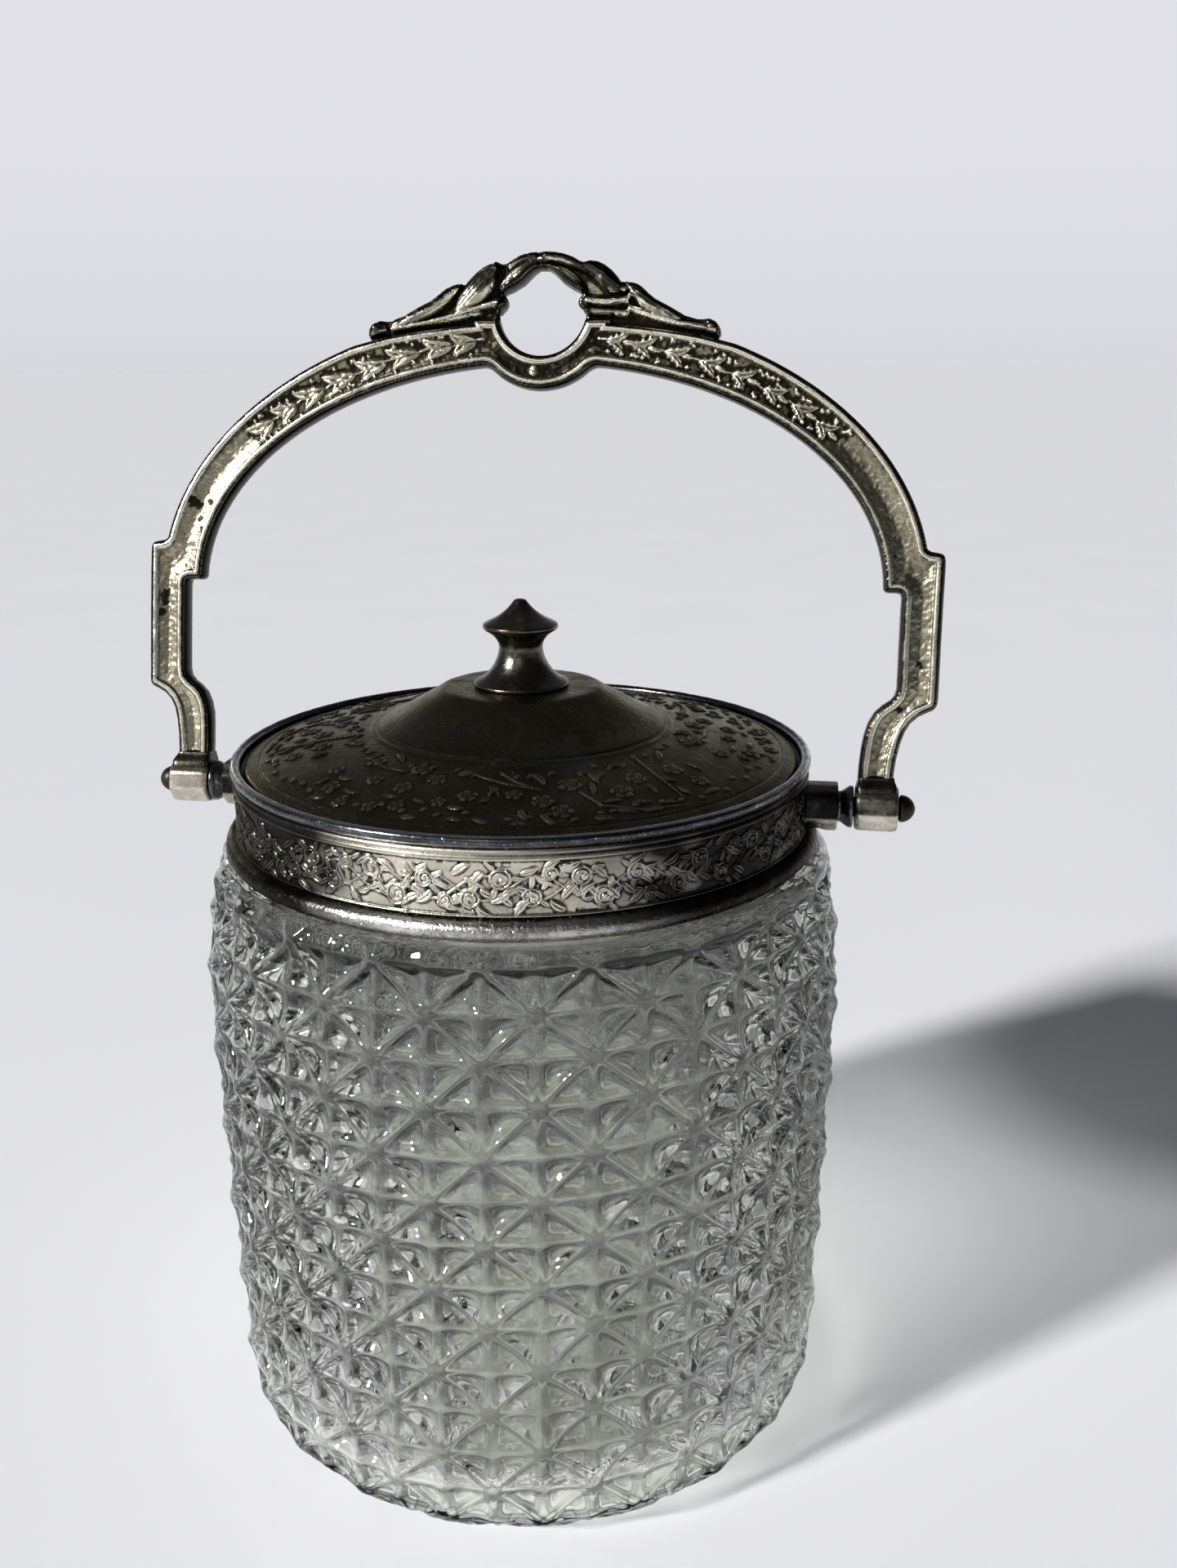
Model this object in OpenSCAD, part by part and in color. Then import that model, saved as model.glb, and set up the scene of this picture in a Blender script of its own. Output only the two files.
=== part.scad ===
// Biscuit jar: pressed-glass body, plated collar with two pivot lugs,
// lift-off lid with a turned finial, and a swing bail with a finger ring.
// Millimetres. +Z is up, X runs along the bail's pivot axis, and the origin is
// the centre of the foot on the table.

/* [Glass body] */
// greatest outside diameter of the glass
body_d = 130; // [110:0.5:150]
// height of the greatest diameter
body_z = 92; // [80:0.5:100]
// diameter where the wall meets the rounded bottom edge
skirt_d = 126.6; // [110:0.2:140]
// height of the rounded bottom edge
corner_h = 13.6; // [8:0.2:24]
// outside diameter of the foot on the table
foot_d = 97.6; // [80:0.2:110]
// depth of the hollow under the base
foot_hollow = 1.4; // [0.6:0.1:3]
// wall thickness
wall = 4.2; // [3:0.1:6]
// wall thickness of the neck
neck_wall = 2.8; // [2.4:0.1:4]
// thickness of the floor
floor_t = 6; // [4:0.2:9]
// outside diameter of the neck
neck_d = 106.4; // [100:0.2:112]
// height where the shoulder turns in to the neck
neck_z = 123; // [118:0.2:128]
// height of the mouth
mouth_z = 137.6; // [132:0.2:142]

/* [Collar] */
// outside diameter of the embossed band
band_d = 113.6; // [110:0.2:120]
// sheet thickness of the band
band_t = 1; // [0.6:0.1:2]
// lower edge of the band
band_z0 = 127.4; // [124:0.2:130]
// upper edge of the band
band_z1 = 139.1; // [134:0.1:144]
// section radius of the lower bead
bead_r = 1.9; // [1:0.1:3]
// radius of the lower bead's centre line
bead_c = 57; // [54:0.1:60]
// outside diameter of the rolled rim
rim_d = 114.2; // [110:0.2:120]
// inside diameter of the rolled rim
rim_in = 110.4; // [106:0.2:114]
// top of the rolled rim
rim_z = 141.4; // [138:0.1:146]
// inside diameter of the ledge that carries the lid
ledge_in = 104.4; // [98:0.2:108]
// top of the ledge
ledge_z = 139.3; // [136:0.1:142]

/* [Pivots] */
// height of the pivot axis
pivot_z = 131.1; // [128:0.1:134]
// outer face of the lug, from the jar's axis
lug_x = 62.6; // [60:0.1:66]
// half height of the lug
lug_h = 4.6; // [3:0.1:5]
// half depth of the lug
lug_y = 4.2; // [3:0.1:6]
// bevel on the lug's long edges
lug_bevel = 2.4; // [0.5:0.1:3]
// radius of the pivot pin
pin_r = 2; // [1.5:0.05:3]
// radius of the pin's domed head
head_r = 2.65; // [2.2:0.05:4]
// far end of the head, from the jar's axis
head_x = 77.5; // [75:0.1:80]
// inner and outer ends of the bail's barrel boss
boss_x0 = 65.9; // [64:0.1:68]
boss_x1 = 74.1; // [72:0.1:76]
// radius of the barrel boss
boss_r = 4.65; // [4:0.05:6]
// radial running clearance of the boss on its pin
run = 0.05; // [0.02:0.01:0.1]

/* [Bail] */
// lean of the bail at rest, towards +Y
lean = 12; // [0:1:20]
// half width and height of the arch's outer edge above its springing
arch_a = 77.5; // [74:0.1:82]
arch_b = 54; // [48:0.1:60]
// half width and height of the arch's inner edge above its springing
arch_ai = 68.6; // [66:0.1:72]
arch_bi = 43.5; // [38:0.1:48]
// height of the springing above the pivot
arch_u = 41.3; // [36:0.1:46]
// thickness of arch and legs
bail_t = 4.6; // [3:0.1:7]
// thickness of the crest
crest_t = 6; // [4:0.1:8]
// width of the raised rims and depth of the channel between them
rail = 1.6; // [1:0.1:2.4]
channel = 0.7; // [0.3:0.1:1.2]
// finger hole radius, and its centre above the pivot
hole_r = 8.6; // [7:0.1:10]
hole_u = 95; // [92:0.1:98]
// radius of the round bulge under the finger hole, and its centre above the pivot
bulge_r = 13.8; // [12:0.1:16]
bulge_u = 93.5; // [90:0.1:97]

/* [Lid] */
// diameter of the lid
lid_d = 108.8; // [104:0.1:112]
// sheet thickness of the lid
lid_t = 0.9; // [0.6:0.05:1.5]
// gap between the lid and its ledge
lid_gap = 0.1; // [0.05:0.05:0.4]
// rise of the lid's slope from its edge to the foot of the dome
lid_rise = 5.6; // [3:0.1:8]
// diameters of the dome's foot and of its flat top
dome_d0 = 57.6; // [50:0.1:64]
dome_d1 = 32.8; // [26:0.1:40]
// height of the dome's flat top
dome_z = 153.6; // [150:0.1:158]
// outside diameter, thickness and depth of the locating ring
flange_d = 98.8; // [96:0.1:104]
flange_t = 0.9; // [0.6:0.1:2]
flange_h = 5; // [3:0.1:8]

/* [Finial] */
// radii of the finial's foot, neck, rim and tip
fin_foot = 9.4; // [8:0.1:12]
fin_neck = 4.25; // [3:0.05:6]
fin_rim = 7.4; // [6:0.1:9]
fin_tip = 1.2; // [0.6:0.1:2]
// height of the finial
fin_h = 17; // [14:0.1:22]
// radius of the stud inside it
stud_r = 1.75; // [1.25:0.05:2.5]

/* [Hidden] */
$fn = 128;

band_r = band_d / 2;
lid_z0 = ledge_z + lid_gap;
lid_z1 = lid_z0 + lid_t;

// points along a quarter of a superellipse from [r0, z0] to [r1, z1];
// it leaves the first point along Z and reaches the last along R
function quarter(r0, z0, r1, z1, p, n) =
    [for (i = [0:n]) let (a = 90 * i / n)
        [r1 + (r0 - r1) * pow(cos(a), 2 / p), z0 + (z1 - z0) * pow(sin(a), 2 / p)]];

// points along an ellipse from angle t0 to t1
function ell(a, b, u0, t0, t1, n) =
    [for (i = [0:n]) let (t = t0 + (t1 - t0) * i / n) [a * cos(t), u0 + b * sin(t)]];

function rev(v) = [for (i = [len(v) - 1:-1:0]) v[i]];

// ---------- glass ----------

module glass_jar() {
    rb = foot_d / 2;
    rs = skirt_d / 2;
    rm = body_d / 2;
    rn = neck_d / 2;
    outer = concat(
        [[0, foot_hollow], [rb - 9, foot_hollow], [rb - 6, 0], [rb, 0]],
        [for (i = [1:8]) let (a = 90 * i / 8)
            [rb + (rs - rb) * pow(sin(a), 0.94), corner_h * (1 - pow(cos(a), 0.94))]],
        [[rm - 0.55, (corner_h + body_z) * 0.5], [rm - 0.1, body_z - 12]],
        [for (i = [0:9]) let (a = 90 * i / 9)
            [bead_c - 0.4 + (rm - bead_c + 0.4) * pow(cos(a), 0.54), body_z + (neck_z - body_z) * pow(sin(a), 0.96)]],
        [[rn, neck_z + 0.6], [rn, mouth_z - 0.6], [rn - 0.6, mouth_z]]);
    inner = concat(
        [[rn - neck_wall + 0.6, mouth_z], [rn - neck_wall, mouth_z - 0.6], [rn - neck_wall, neck_z - 1]],
        [for (i = [8:-1:0]) let (a = 90 * i / 9)
            [bead_c - wall - 2 + (rm - bead_c + 2) * pow(cos(a), 0.54), body_z - 4 + (neck_z - body_z) * pow(sin(a), 0.96)]],
        [[rs - wall, corner_h + 6]],
        [for (i = [7:-1:0]) let (a = 90 * i / 8)
            [rb - 4 + (rs - wall - rb + 4) * pow(sin(a), 0.94), floor_t + corner_h * (1 - pow(cos(a), 0.94))]],
        [[0, floor_t]]);
    color([0.78, 0.82, 0.78, 0.5]) rotate_extrude() polygon(concat(outer, inner));
}

module neck_cement() {
    color([0.82, 0.79, 0.72]) rotate_extrude()
        polygon([[neck_d / 2, neck_z + 0.8], [bead_c - bead_r - 0.1, neck_z + 1.2],
                 [bead_c - bead_r - 0.1, band_z0], [band_r - band_t, band_z0 + 0.6],
                 [band_r - band_t, ledge_z - 0.9], [neck_d / 2, ledge_z - 0.9]]);
}

// ---------- collar ----------

module collar_band() {
    ri = band_r - band_t;
    color([0.72, 0.7, 0.66]) rotate_extrude()
        polygon([[ri, band_z0], [band_r - 0.3, band_z0], [band_r, band_z0 + 0.5],
                 [band_r, band_z1 - 2], [band_r - 0.25, band_z1 - 1.7],
                 [band_r - 0.25, band_z1], [ri, band_z1]]);
}

module foot_bead() {
    ri = band_r - band_t;
    color([0.66, 0.65, 0.63]) rotate_extrude()
        union() {
            translate([bead_c, band_z0 - 0.4 - bead_r]) circle(r = bead_r, $fn = 48);
            translate([ri, band_z0 - 0.4 - bead_r]) square([band_t, bead_r + 0.4]);
        }
}

module rim_ring() {
    rc = (rim_d + rim_in) / 4;
    rs = (rim_d - rim_in) / 4;
    color([0.45, 0.48, 0.5]) rotate_extrude()
        union() {
            translate([rc, rim_z - rs]) circle(r = rs, $fn = 40);
            translate([rim_in / 2, band_z1]) square([rs * 2, rim_z - rs - band_z1]);
            translate([ledge_in / 2, ledge_z - 0.8]) square([band_r - band_t - ledge_in / 2, 0.8]);
        }
}

// ---------- pivots ----------

module lug() {
    x0 = band_r - 3;
    color([0.5, 0.48, 0.44]) difference() {
        translate([x0, 0, pivot_z]) rotate([90, 0, 90]) linear_extrude(height = lug_x - x0)
            polygon([[-lug_y + lug_bevel, -lug_h], [lug_y - lug_bevel, -lug_h],
                     [lug_y, -lug_h + lug_bevel], [lug_y, lug_h - lug_bevel],
                     [lug_y - lug_bevel, lug_h], [-lug_y + lug_bevel, lug_h],
                     [-lug_y, lug_h - lug_bevel], [-lug_y, -lug_h + lug_bevel]]);
        translate([0, 0, band_z0 - 6]) cylinder(r = band_r, h = 30);
        // notch over the lower bead
        translate([0, 0, band_z0 - 6]) cylinder(r = bead_c + bead_r + 0.1, h = 5.8);
        translate([band_r + 1.2, 0, pivot_z]) rotate([0, 90, 0]) cylinder(r = pin_r, h = 12);
    }
}

module spacer() {
    color([0.55, 0.53, 0.5]) translate([lug_x, 0, pivot_z]) rotate([0, 90, 0])
        rotate_extrude() polygon([[pin_r, 0], [2.9, 0], [2.9, 0.5], [3.3, 0.9],
            [3.9, 1.6], [4.25, 2.4], [4.3, 3], [pin_r, 3]]);
}

module pin() {
    s = boss_x1 + 0.3;
    color([0.4, 0.39, 0.36]) translate([band_r + 1.2, 0, pivot_z]) rotate([0, 90, 0])
        rotate_extrude() polygon(concat(
            [[0, 0], [pin_r, 0], [pin_r, s - band_r - 1.2]],
            [for (i = [0:12]) let (a = 90 * i / 12)
                [head_r * cos(a), s - band_r - 1.2 + 0.4 + (head_x - s - 0.4) * sin(a)]]));
}

module lug_right() lug();
module lug_left() mirror([1, 0, 0]) lug();
module spacer_right() spacer();
module spacer_left() mirror([1, 0, 0]) spacer();
module pin_right() pin();
module pin_left() mirror([1, 0, 0]) pin();

// ---------- bail ----------

// arch between its two edges, narrowed by m on each side
module arch2(m) {
    t0 = asin((8.2 - m) / arch_b);
    polygon(concat(ell(arch_a - m, arch_b - m, arch_u, t0, 180 - t0, 44),
                   ell(arch_ai + m, arch_bi + m, arch_u, 180, 0, 44)));
}

// right leg, narrowed by m: offset top, straight shank, swept foot
module leg2(m) {
    polygon([[arch_ai + m, arch_u + m], [72.1 + m, arch_u + m], [72.1 + m, 22 + m * 0.5],
             [70.4 + m, 20.3 + m * 0.6], [68.2 + m, 18.6 + m * 0.5], [67 + m, 16.2], [66.4 + m, 13],
             [66.2 + m, 9], [66.2 + m, 3 + m], [72.9 - m, 3 + m], [72.9 - m, 9],
             [73.4 - m, 12.2], [74.4 - m, 15.2], [76.2 - m, 17.4 + m * 0.4], [79.3 - m, 19 + m * 0.8],
             [80.1 - m, 20 + m * 0.8], [80.1 - m, 47.9 - m * 0.6], [79.2 - m * 0.8, 48.9 - m],
             [76.6 - m * 0.5, 49.5 - m * 0.4], [arch_ai + 2 + m, arch_u + 5]]);
}

// finger hole: round below, pinched at the sides, pointed on top
module hole2() {
    polygon(concat(
        [for (i = [0:36]) let (t = 165 + 210 * i / 36) [hole_r * cos(t), hole_u + hole_r * sin(t)]],
        [[6.6, 97.1], [7.3, 98.4], [6.4, 99.2], [4.4, 100], [2.2, 101.6], [0.8, 102.4], [0, 102.5],
         [-0.8, 102.4], [-2.2, 101.6], [-4.4, 100], [-6.4, 99.2], [-7.3, 98.4], [-6.6, 97.1]]));
}

// right half of the leafy crest over the hole
module crest2() {
    polygon([[0, 93], [20, 91.5], [34.6, 88.6], [35.4, 90], [34.4, 91.8], [32, 92.8], [28, 93.5],
             [24.6, 94.6], [22, 96.6], [19.4, 98.6], [17.6, 99.9], [15.8, 100], [14.2, 101.9],
             [11.6, 103.6], [9.4, 104.3], [7.2, 104.5], [5.4, 105.2], [3, 106], [0, 106.2]]);
}

module bail_flat() {
    difference() {
        union() {
            arch2(0);
            leg2(0);
            mirror([1, 0]) leg2(0);
            translate([0, bulge_u]) circle(r = bulge_r, $fn = 96);
        }
        hole2();
        // the crest alone stands above the arch's outer edge
        translate([-20, 96.6]) square([40, 20]);
    }
}

module channel_flat() {
    difference() {
        union() {
            arch2(rail);
            leg2(rail);
            mirror([1, 0]) leg2(rail);
            translate([0, bulge_u]) circle(r = bulge_r - rail, $fn = 96);
        }
        translate([0, hole_u]) circle(r = hole_r + rail + 0.2, $fn = 96);
        polygon([[-34, 88.6], [-12, 93], [12, 93], [34, 88.6], [40, 110], [-40, 110]]);
    }
}

module boss() {
    translate([boss_x0, 0, 0]) rotate([0, 90, 0]) rotate_extrude()
        polygon([[0, 0], [boss_r - 0.8, 0], [boss_r, 0.8], [boss_r, boss_x1 - boss_x0 - 0.6],
                 [boss_r - 0.6, boss_x1 - boss_x0], [0, boss_x1 - boss_x0]]);
    translate([boss_x0 + 0.2, -3.3, 0]) cube([boss_x1 - boss_x0 - 0.5, 6.6, 5.2]);
}

module handle() {
    color([0.76, 0.72, 0.62]) translate([0, 0, pivot_z]) rotate([-lean, 0, 0])
        difference() {
            union() {
                rotate([90, 0, 0]) linear_extrude(height = bail_t, center = true) bail_flat();
                rotate([90, 0, 0]) linear_extrude(height = crest_t, center = true) difference() {
                    union() {
                        crest2();
                        mirror([1, 0]) crest2();
                    }
                    hole2();
                }
                boss();
                mirror([1, 0, 0]) boss();
            }
            for (s = [-1, 1]) translate([0, s * (bail_t / 2 - channel + 1), 0])
                rotate([90, 0, 0]) linear_extrude(height = 2, center = true) channel_flat();
            translate([boss_x0 - 1, 0, 0]) rotate([0, 90, 0]) cylinder(r = pin_r + run, h = 12);
            translate([-boss_x1 - 2, 0, 0]) rotate([0, 90, 0]) cylinder(r = pin_r + run, h = 12);
        }
}

// ---------- lid ----------

module lid_plate() {
    r0 = lid_d / 2;
    r1 = dome_d0 / 2;
    r2 = dome_d1 / 2;
    zs = lid_z1 + lid_rise;
    color([0.3, 0.28, 0.24]) rotate_extrude()
        polygon([[stud_r + 0.05, dome_z - lid_t], [r2 - 1.2, dome_z - lid_t], [r2 - 0.2, dome_z - lid_t - 0.5],
                 [r1 - 0.6, zs - lid_t + 0.7], [r1 + 0.6, lid_z0 + 0.3 + lid_rise], [r0 - 4.2, lid_z0 + 0.5],
                 [r0 - 3.6, lid_z0], [r0, lid_z0], [r0, lid_z1 - 0.2], [r0 - 0.2, lid_z1],
                 [r0 - 3.2, lid_z1 + 0.6], [r1 + 0.8, zs - 0.1], [r1, zs + 0.3], [r2 + 0.6, dome_z - 0.6],
                 [r2 - 0.6, dome_z], [stud_r + 0.05, dome_z]]);
}

module lid_flange() {
    ro = flange_d / 2;
    ri = ro - flange_t;
    // the top follows the underside of the lid's slope
    k = (lid_rise - 0.2) / (lid_d / 2 - dome_d0 / 2 - 4.8);
    color([0.6, 0.58, 0.52]) rotate_extrude()
        polygon([[ri, lid_z0 - flange_h], [ro, lid_z0 - flange_h + 0.4],
                 [ro, lid_z0 + 0.45 + (lid_d / 2 - 4.2 - ro) * k], [ri, lid_z0 + 0.45 + (lid_d / 2 - 4.2 - ri) * k]]);
}

module finial() {
    color([0.36, 0.34, 0.3]) translate([0, 0, dome_z]) rotate_extrude()
        difference() {
            polygon(concat([[0, 0], [fin_foot, 0], [fin_foot, 0.5], [fin_foot - 0.3, 0.9]],
                [[7.6, 1.9], [6.1, 3.2], [5, 4.7], [4.4, 6.2], [fin_neck, 7.2], [4.35, 8.2], [4.9, 9.3],
                 [5.8, 10.2], [6.8, 10.8], [fin_rim, 11.5], [fin_rim, 12.1], [fin_rim - 0.4, 12.6],
                 [5.6, 13.2], [3.9, 14.1], [2.5, 15.3], [1.7, 16.2], [fin_tip, fin_h - 0.3],
                 [fin_tip * 0.6, fin_h], [0, fin_h]]));
            square([stud_r, 9]);
        }
}

module finial_washer() {
    color([0.55, 0.5, 0.4]) translate([0, 0, dome_z - lid_t - 0.8]) difference() {
        cylinder(r = 6, h = 0.8);
        translate([0, 0, -1]) cylinder(r = stud_r, h = 4);
    }
}

module finial_stud() {
    color([0.55, 0.5, 0.4]) translate([0, 0, dome_z - 8]) cylinder(r = stud_r, h = 17);
}

module finial_nut() {
    color([0.55, 0.5, 0.4]) translate([0, 0, dome_z - lid_t - 0.8 - 3]) difference() {
        cylinder(r = 4, h = 3, $fn = 6);
        translate([0, 0, -1]) cylinder(r = stud_r, h = 6);
    }
}

glass_jar();
neck_cement();
collar_band();
rim_ring();
foot_bead();
lug_left();
lug_right();
spacer_left();
spacer_right();
pin_left();
pin_right();
handle();
lid_plate();
lid_flange();
finial();
finial_washer();
finial_stud();
finial_nut();
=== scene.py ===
import math
import bpy
import numpy as np
from mathutils import Matrix, Vector


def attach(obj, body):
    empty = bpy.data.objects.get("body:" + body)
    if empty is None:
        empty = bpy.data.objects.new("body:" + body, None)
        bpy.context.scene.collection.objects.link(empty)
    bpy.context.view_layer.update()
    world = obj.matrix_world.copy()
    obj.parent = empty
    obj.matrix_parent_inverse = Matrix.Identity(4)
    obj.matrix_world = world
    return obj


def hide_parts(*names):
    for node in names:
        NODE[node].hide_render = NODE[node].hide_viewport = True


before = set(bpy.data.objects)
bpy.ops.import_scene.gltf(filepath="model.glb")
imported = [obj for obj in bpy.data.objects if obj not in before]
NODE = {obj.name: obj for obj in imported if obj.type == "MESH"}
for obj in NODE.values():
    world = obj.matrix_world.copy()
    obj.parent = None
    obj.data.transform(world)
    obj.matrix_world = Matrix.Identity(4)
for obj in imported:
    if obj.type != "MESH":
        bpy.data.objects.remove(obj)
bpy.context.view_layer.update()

MM = 0.001

PIVOT_Z = 131.1
LEAN = math.radians(12.0)
FIT = math.radians(11.487)      # turn between the pattern's own axes and the pivot


# ---------------------------------------------------------------- mesh tools

def mesh_object(name, verts, faces, mat=None, smooth=True, attrs=None):
    """verts N x 3 in millimetres; faces M x 3 or M x 4, or a list of such arrays."""
    if not isinstance(faces, (list, tuple)):
        faces = [faces]
    faces = [np.asarray(f, dtype=np.int32) for f in faces if len(f)]
    verts = np.asarray(verts, dtype=np.float64)
    me = bpy.data.meshes.new(name)
    me.vertices.add(len(verts))
    me.vertices.foreach_set("co", (verts * MM).astype(np.float32).ravel())
    n_loops = sum(f.size for f in faces)
    n_faces = sum(len(f) for f in faces)
    me.loops.add(n_loops)
    me.loops.foreach_set("vertex_index", np.concatenate([f.ravel() for f in faces]))
    me.polygons.add(n_faces)
    totals = np.concatenate([np.full(len(f), f.shape[1], dtype=np.int32) for f in faces])
    starts = np.concatenate([[0], np.cumsum(totals)[:-1]]).astype(np.int32)
    me.polygons.foreach_set("loop_start", starts)
    me.polygons.foreach_set("loop_total", totals)
    me.polygons.foreach_set("use_smooth", np.full(n_faces, smooth, dtype=bool))
    me.update(calc_edges=True)
    me.validate(verbose=False)
    for key, values in (attrs or {}).items():
        a = me.attributes.new(key, "FLOAT", "POINT")
        a.data.foreach_set("value", np.asarray(values, dtype=np.float32).ravel())
    o = bpy.data.objects.new(name, me)
    bpy.context.scene.collection.objects.link(o)
    if mat is not None:
        me.materials.append(mat)
    return o


def grid_faces(nu, nv, wrap_u=False, wrap_v=False, base=0, flip=False):
    """Quads of a grid stored as index u * nv + v."""
    u = np.arange(nu if wrap_u else nu - 1)
    v = np.arange(nv if wrap_v else nv - 1)
    U, V = np.meshgrid(u, v, indexing="ij")
    U2, V2 = (U + 1) % nu, (V + 1) % nv
    q = np.stack([U * nv + V, U2 * nv + V, U2 * nv + V2, U * nv + V2], axis=-1).reshape(-1, 4) + base
    return q[:, ::-1] if flip else q


def revolve(name, profile, n=160, mat=None, closed=False, attrs=None, wob=None):
    """Turned piece about Z. profile: list of (r, z), going so that the outside is on its right when it goes up."""
    p = np.asarray(profile, dtype=float)
    th = np.arange(n) * 2 * math.pi / n
    R = np.broadcast_to(p[:, 0], (n, len(p))).copy()
    Z = np.broadcast_to(p[:, 1], (n, len(p))).copy()
    if wob is not None:
        R, Z = wob(th[:, None], R, Z)
    V = np.stack([R * np.cos(th)[:, None], R * np.sin(th)[:, None], Z], axis=-1).reshape(-1, 3)
    return mesh_object(name, V, grid_faces(n, len(p), wrap_u=True, wrap_v=closed), mat, True, attrs)


def soften(profile, r, n=4):
    """Rounds the corners of an open polyline of (r, z)."""
    p = [np.array(q, dtype=float) for q in profile]
    out = [p[0]]
    for a, b, c in zip(p, p[1:], p[2:]):
        la, lc = np.linalg.norm(a - b), np.linalg.norm(c - b)
        k = min(r, la * 0.45, lc * 0.45)
        s, e = b + (a - b) / la * k, b + (c - b) / lc * k
        for i in range(n + 1):
            t = i / n
            out.append((1 - t) ** 2 * s + 2 * t * (1 - t) * b + t * t * e)
    out.append(p[-1])
    return np.array(out)


def dense(profile, step):
    """Adds points so that no two are further apart than step."""
    p = np.asarray(profile, dtype=float)
    out = [p[0]]
    for a, b in zip(p, p[1:]):
        n = max(1, int(math.ceil(np.linalg.norm(b - a) / step)))
        for i in range(1, n + 1):
            out.append(a + (b - a) * i / n)
    return np.array(out)


def smoothstep(a, b, x):
    t = np.clip((x - a) / (b - a), 0, 1)
    return t * t * (3 - 2 * t)


def value_noise(shape, cells, seed, wrap0=True):
    """Smooth noise from -1 to 1 on a grid; cells = (cells along axis 0, cells along axis 1)."""
    rng = np.random.default_rng(seed)
    c0, c1 = cells
    g = rng.uniform(-1, 1, (c0 + 1, c1 + 2))
    if wrap0:
        g[-1] = g[0]
    a = np.linspace(0, c0, shape[0], endpoint=False if wrap0 else True)
    b = np.linspace(0, c1, shape[1])
    i, j = np.minimum(a.astype(int), c0 - 1), np.minimum(b.astype(int), c1 - 1)
    fa, fb = a - i, b - j
    fa, fb = fa * fa * (3 - 2 * fa), fb * fb * (3 - 2 * fb)
    g00, g10 = g[np.ix_(i, j)], g[np.ix_(i + 1, j)]
    g01, g11 = g[np.ix_(i, j + 1)], g[np.ix_(i + 1, j + 1)]
    fa, fb = fa[:, None], fb[None, :]
    return (g00 * (1 - fa) + g10 * fa) * (1 - fb) + (g01 * (1 - fa) + g11 * fa) * fb


def blur(a, n, wrap0=False):
    """Box blur repeated twice, n samples each way."""
    for _ in range(2):
        for ax in (0, 1):
            if ax == 0 and wrap0:
                p = np.concatenate([a[-n:], a, a[:n]], axis=0)
            else:
                pad = [(0, 0), (0, 0)]
                pad[ax] = (n, n)
                p = np.pad(a, pad, mode="edge")
            c = np.cumsum(p, axis=ax)
            z = np.zeros_like(np.take(c, [0], axis=ax))
            c = np.concatenate([z, c], axis=ax)
            m = 2 * n + 1
            if ax == 0:
                a = (c[m:] - c[:-m]) / m
            else:
                a = (c[:, m:] - c[:, :-m]) / m
    return a


# ---------------------------------------------------------------- relief drawing

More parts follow.
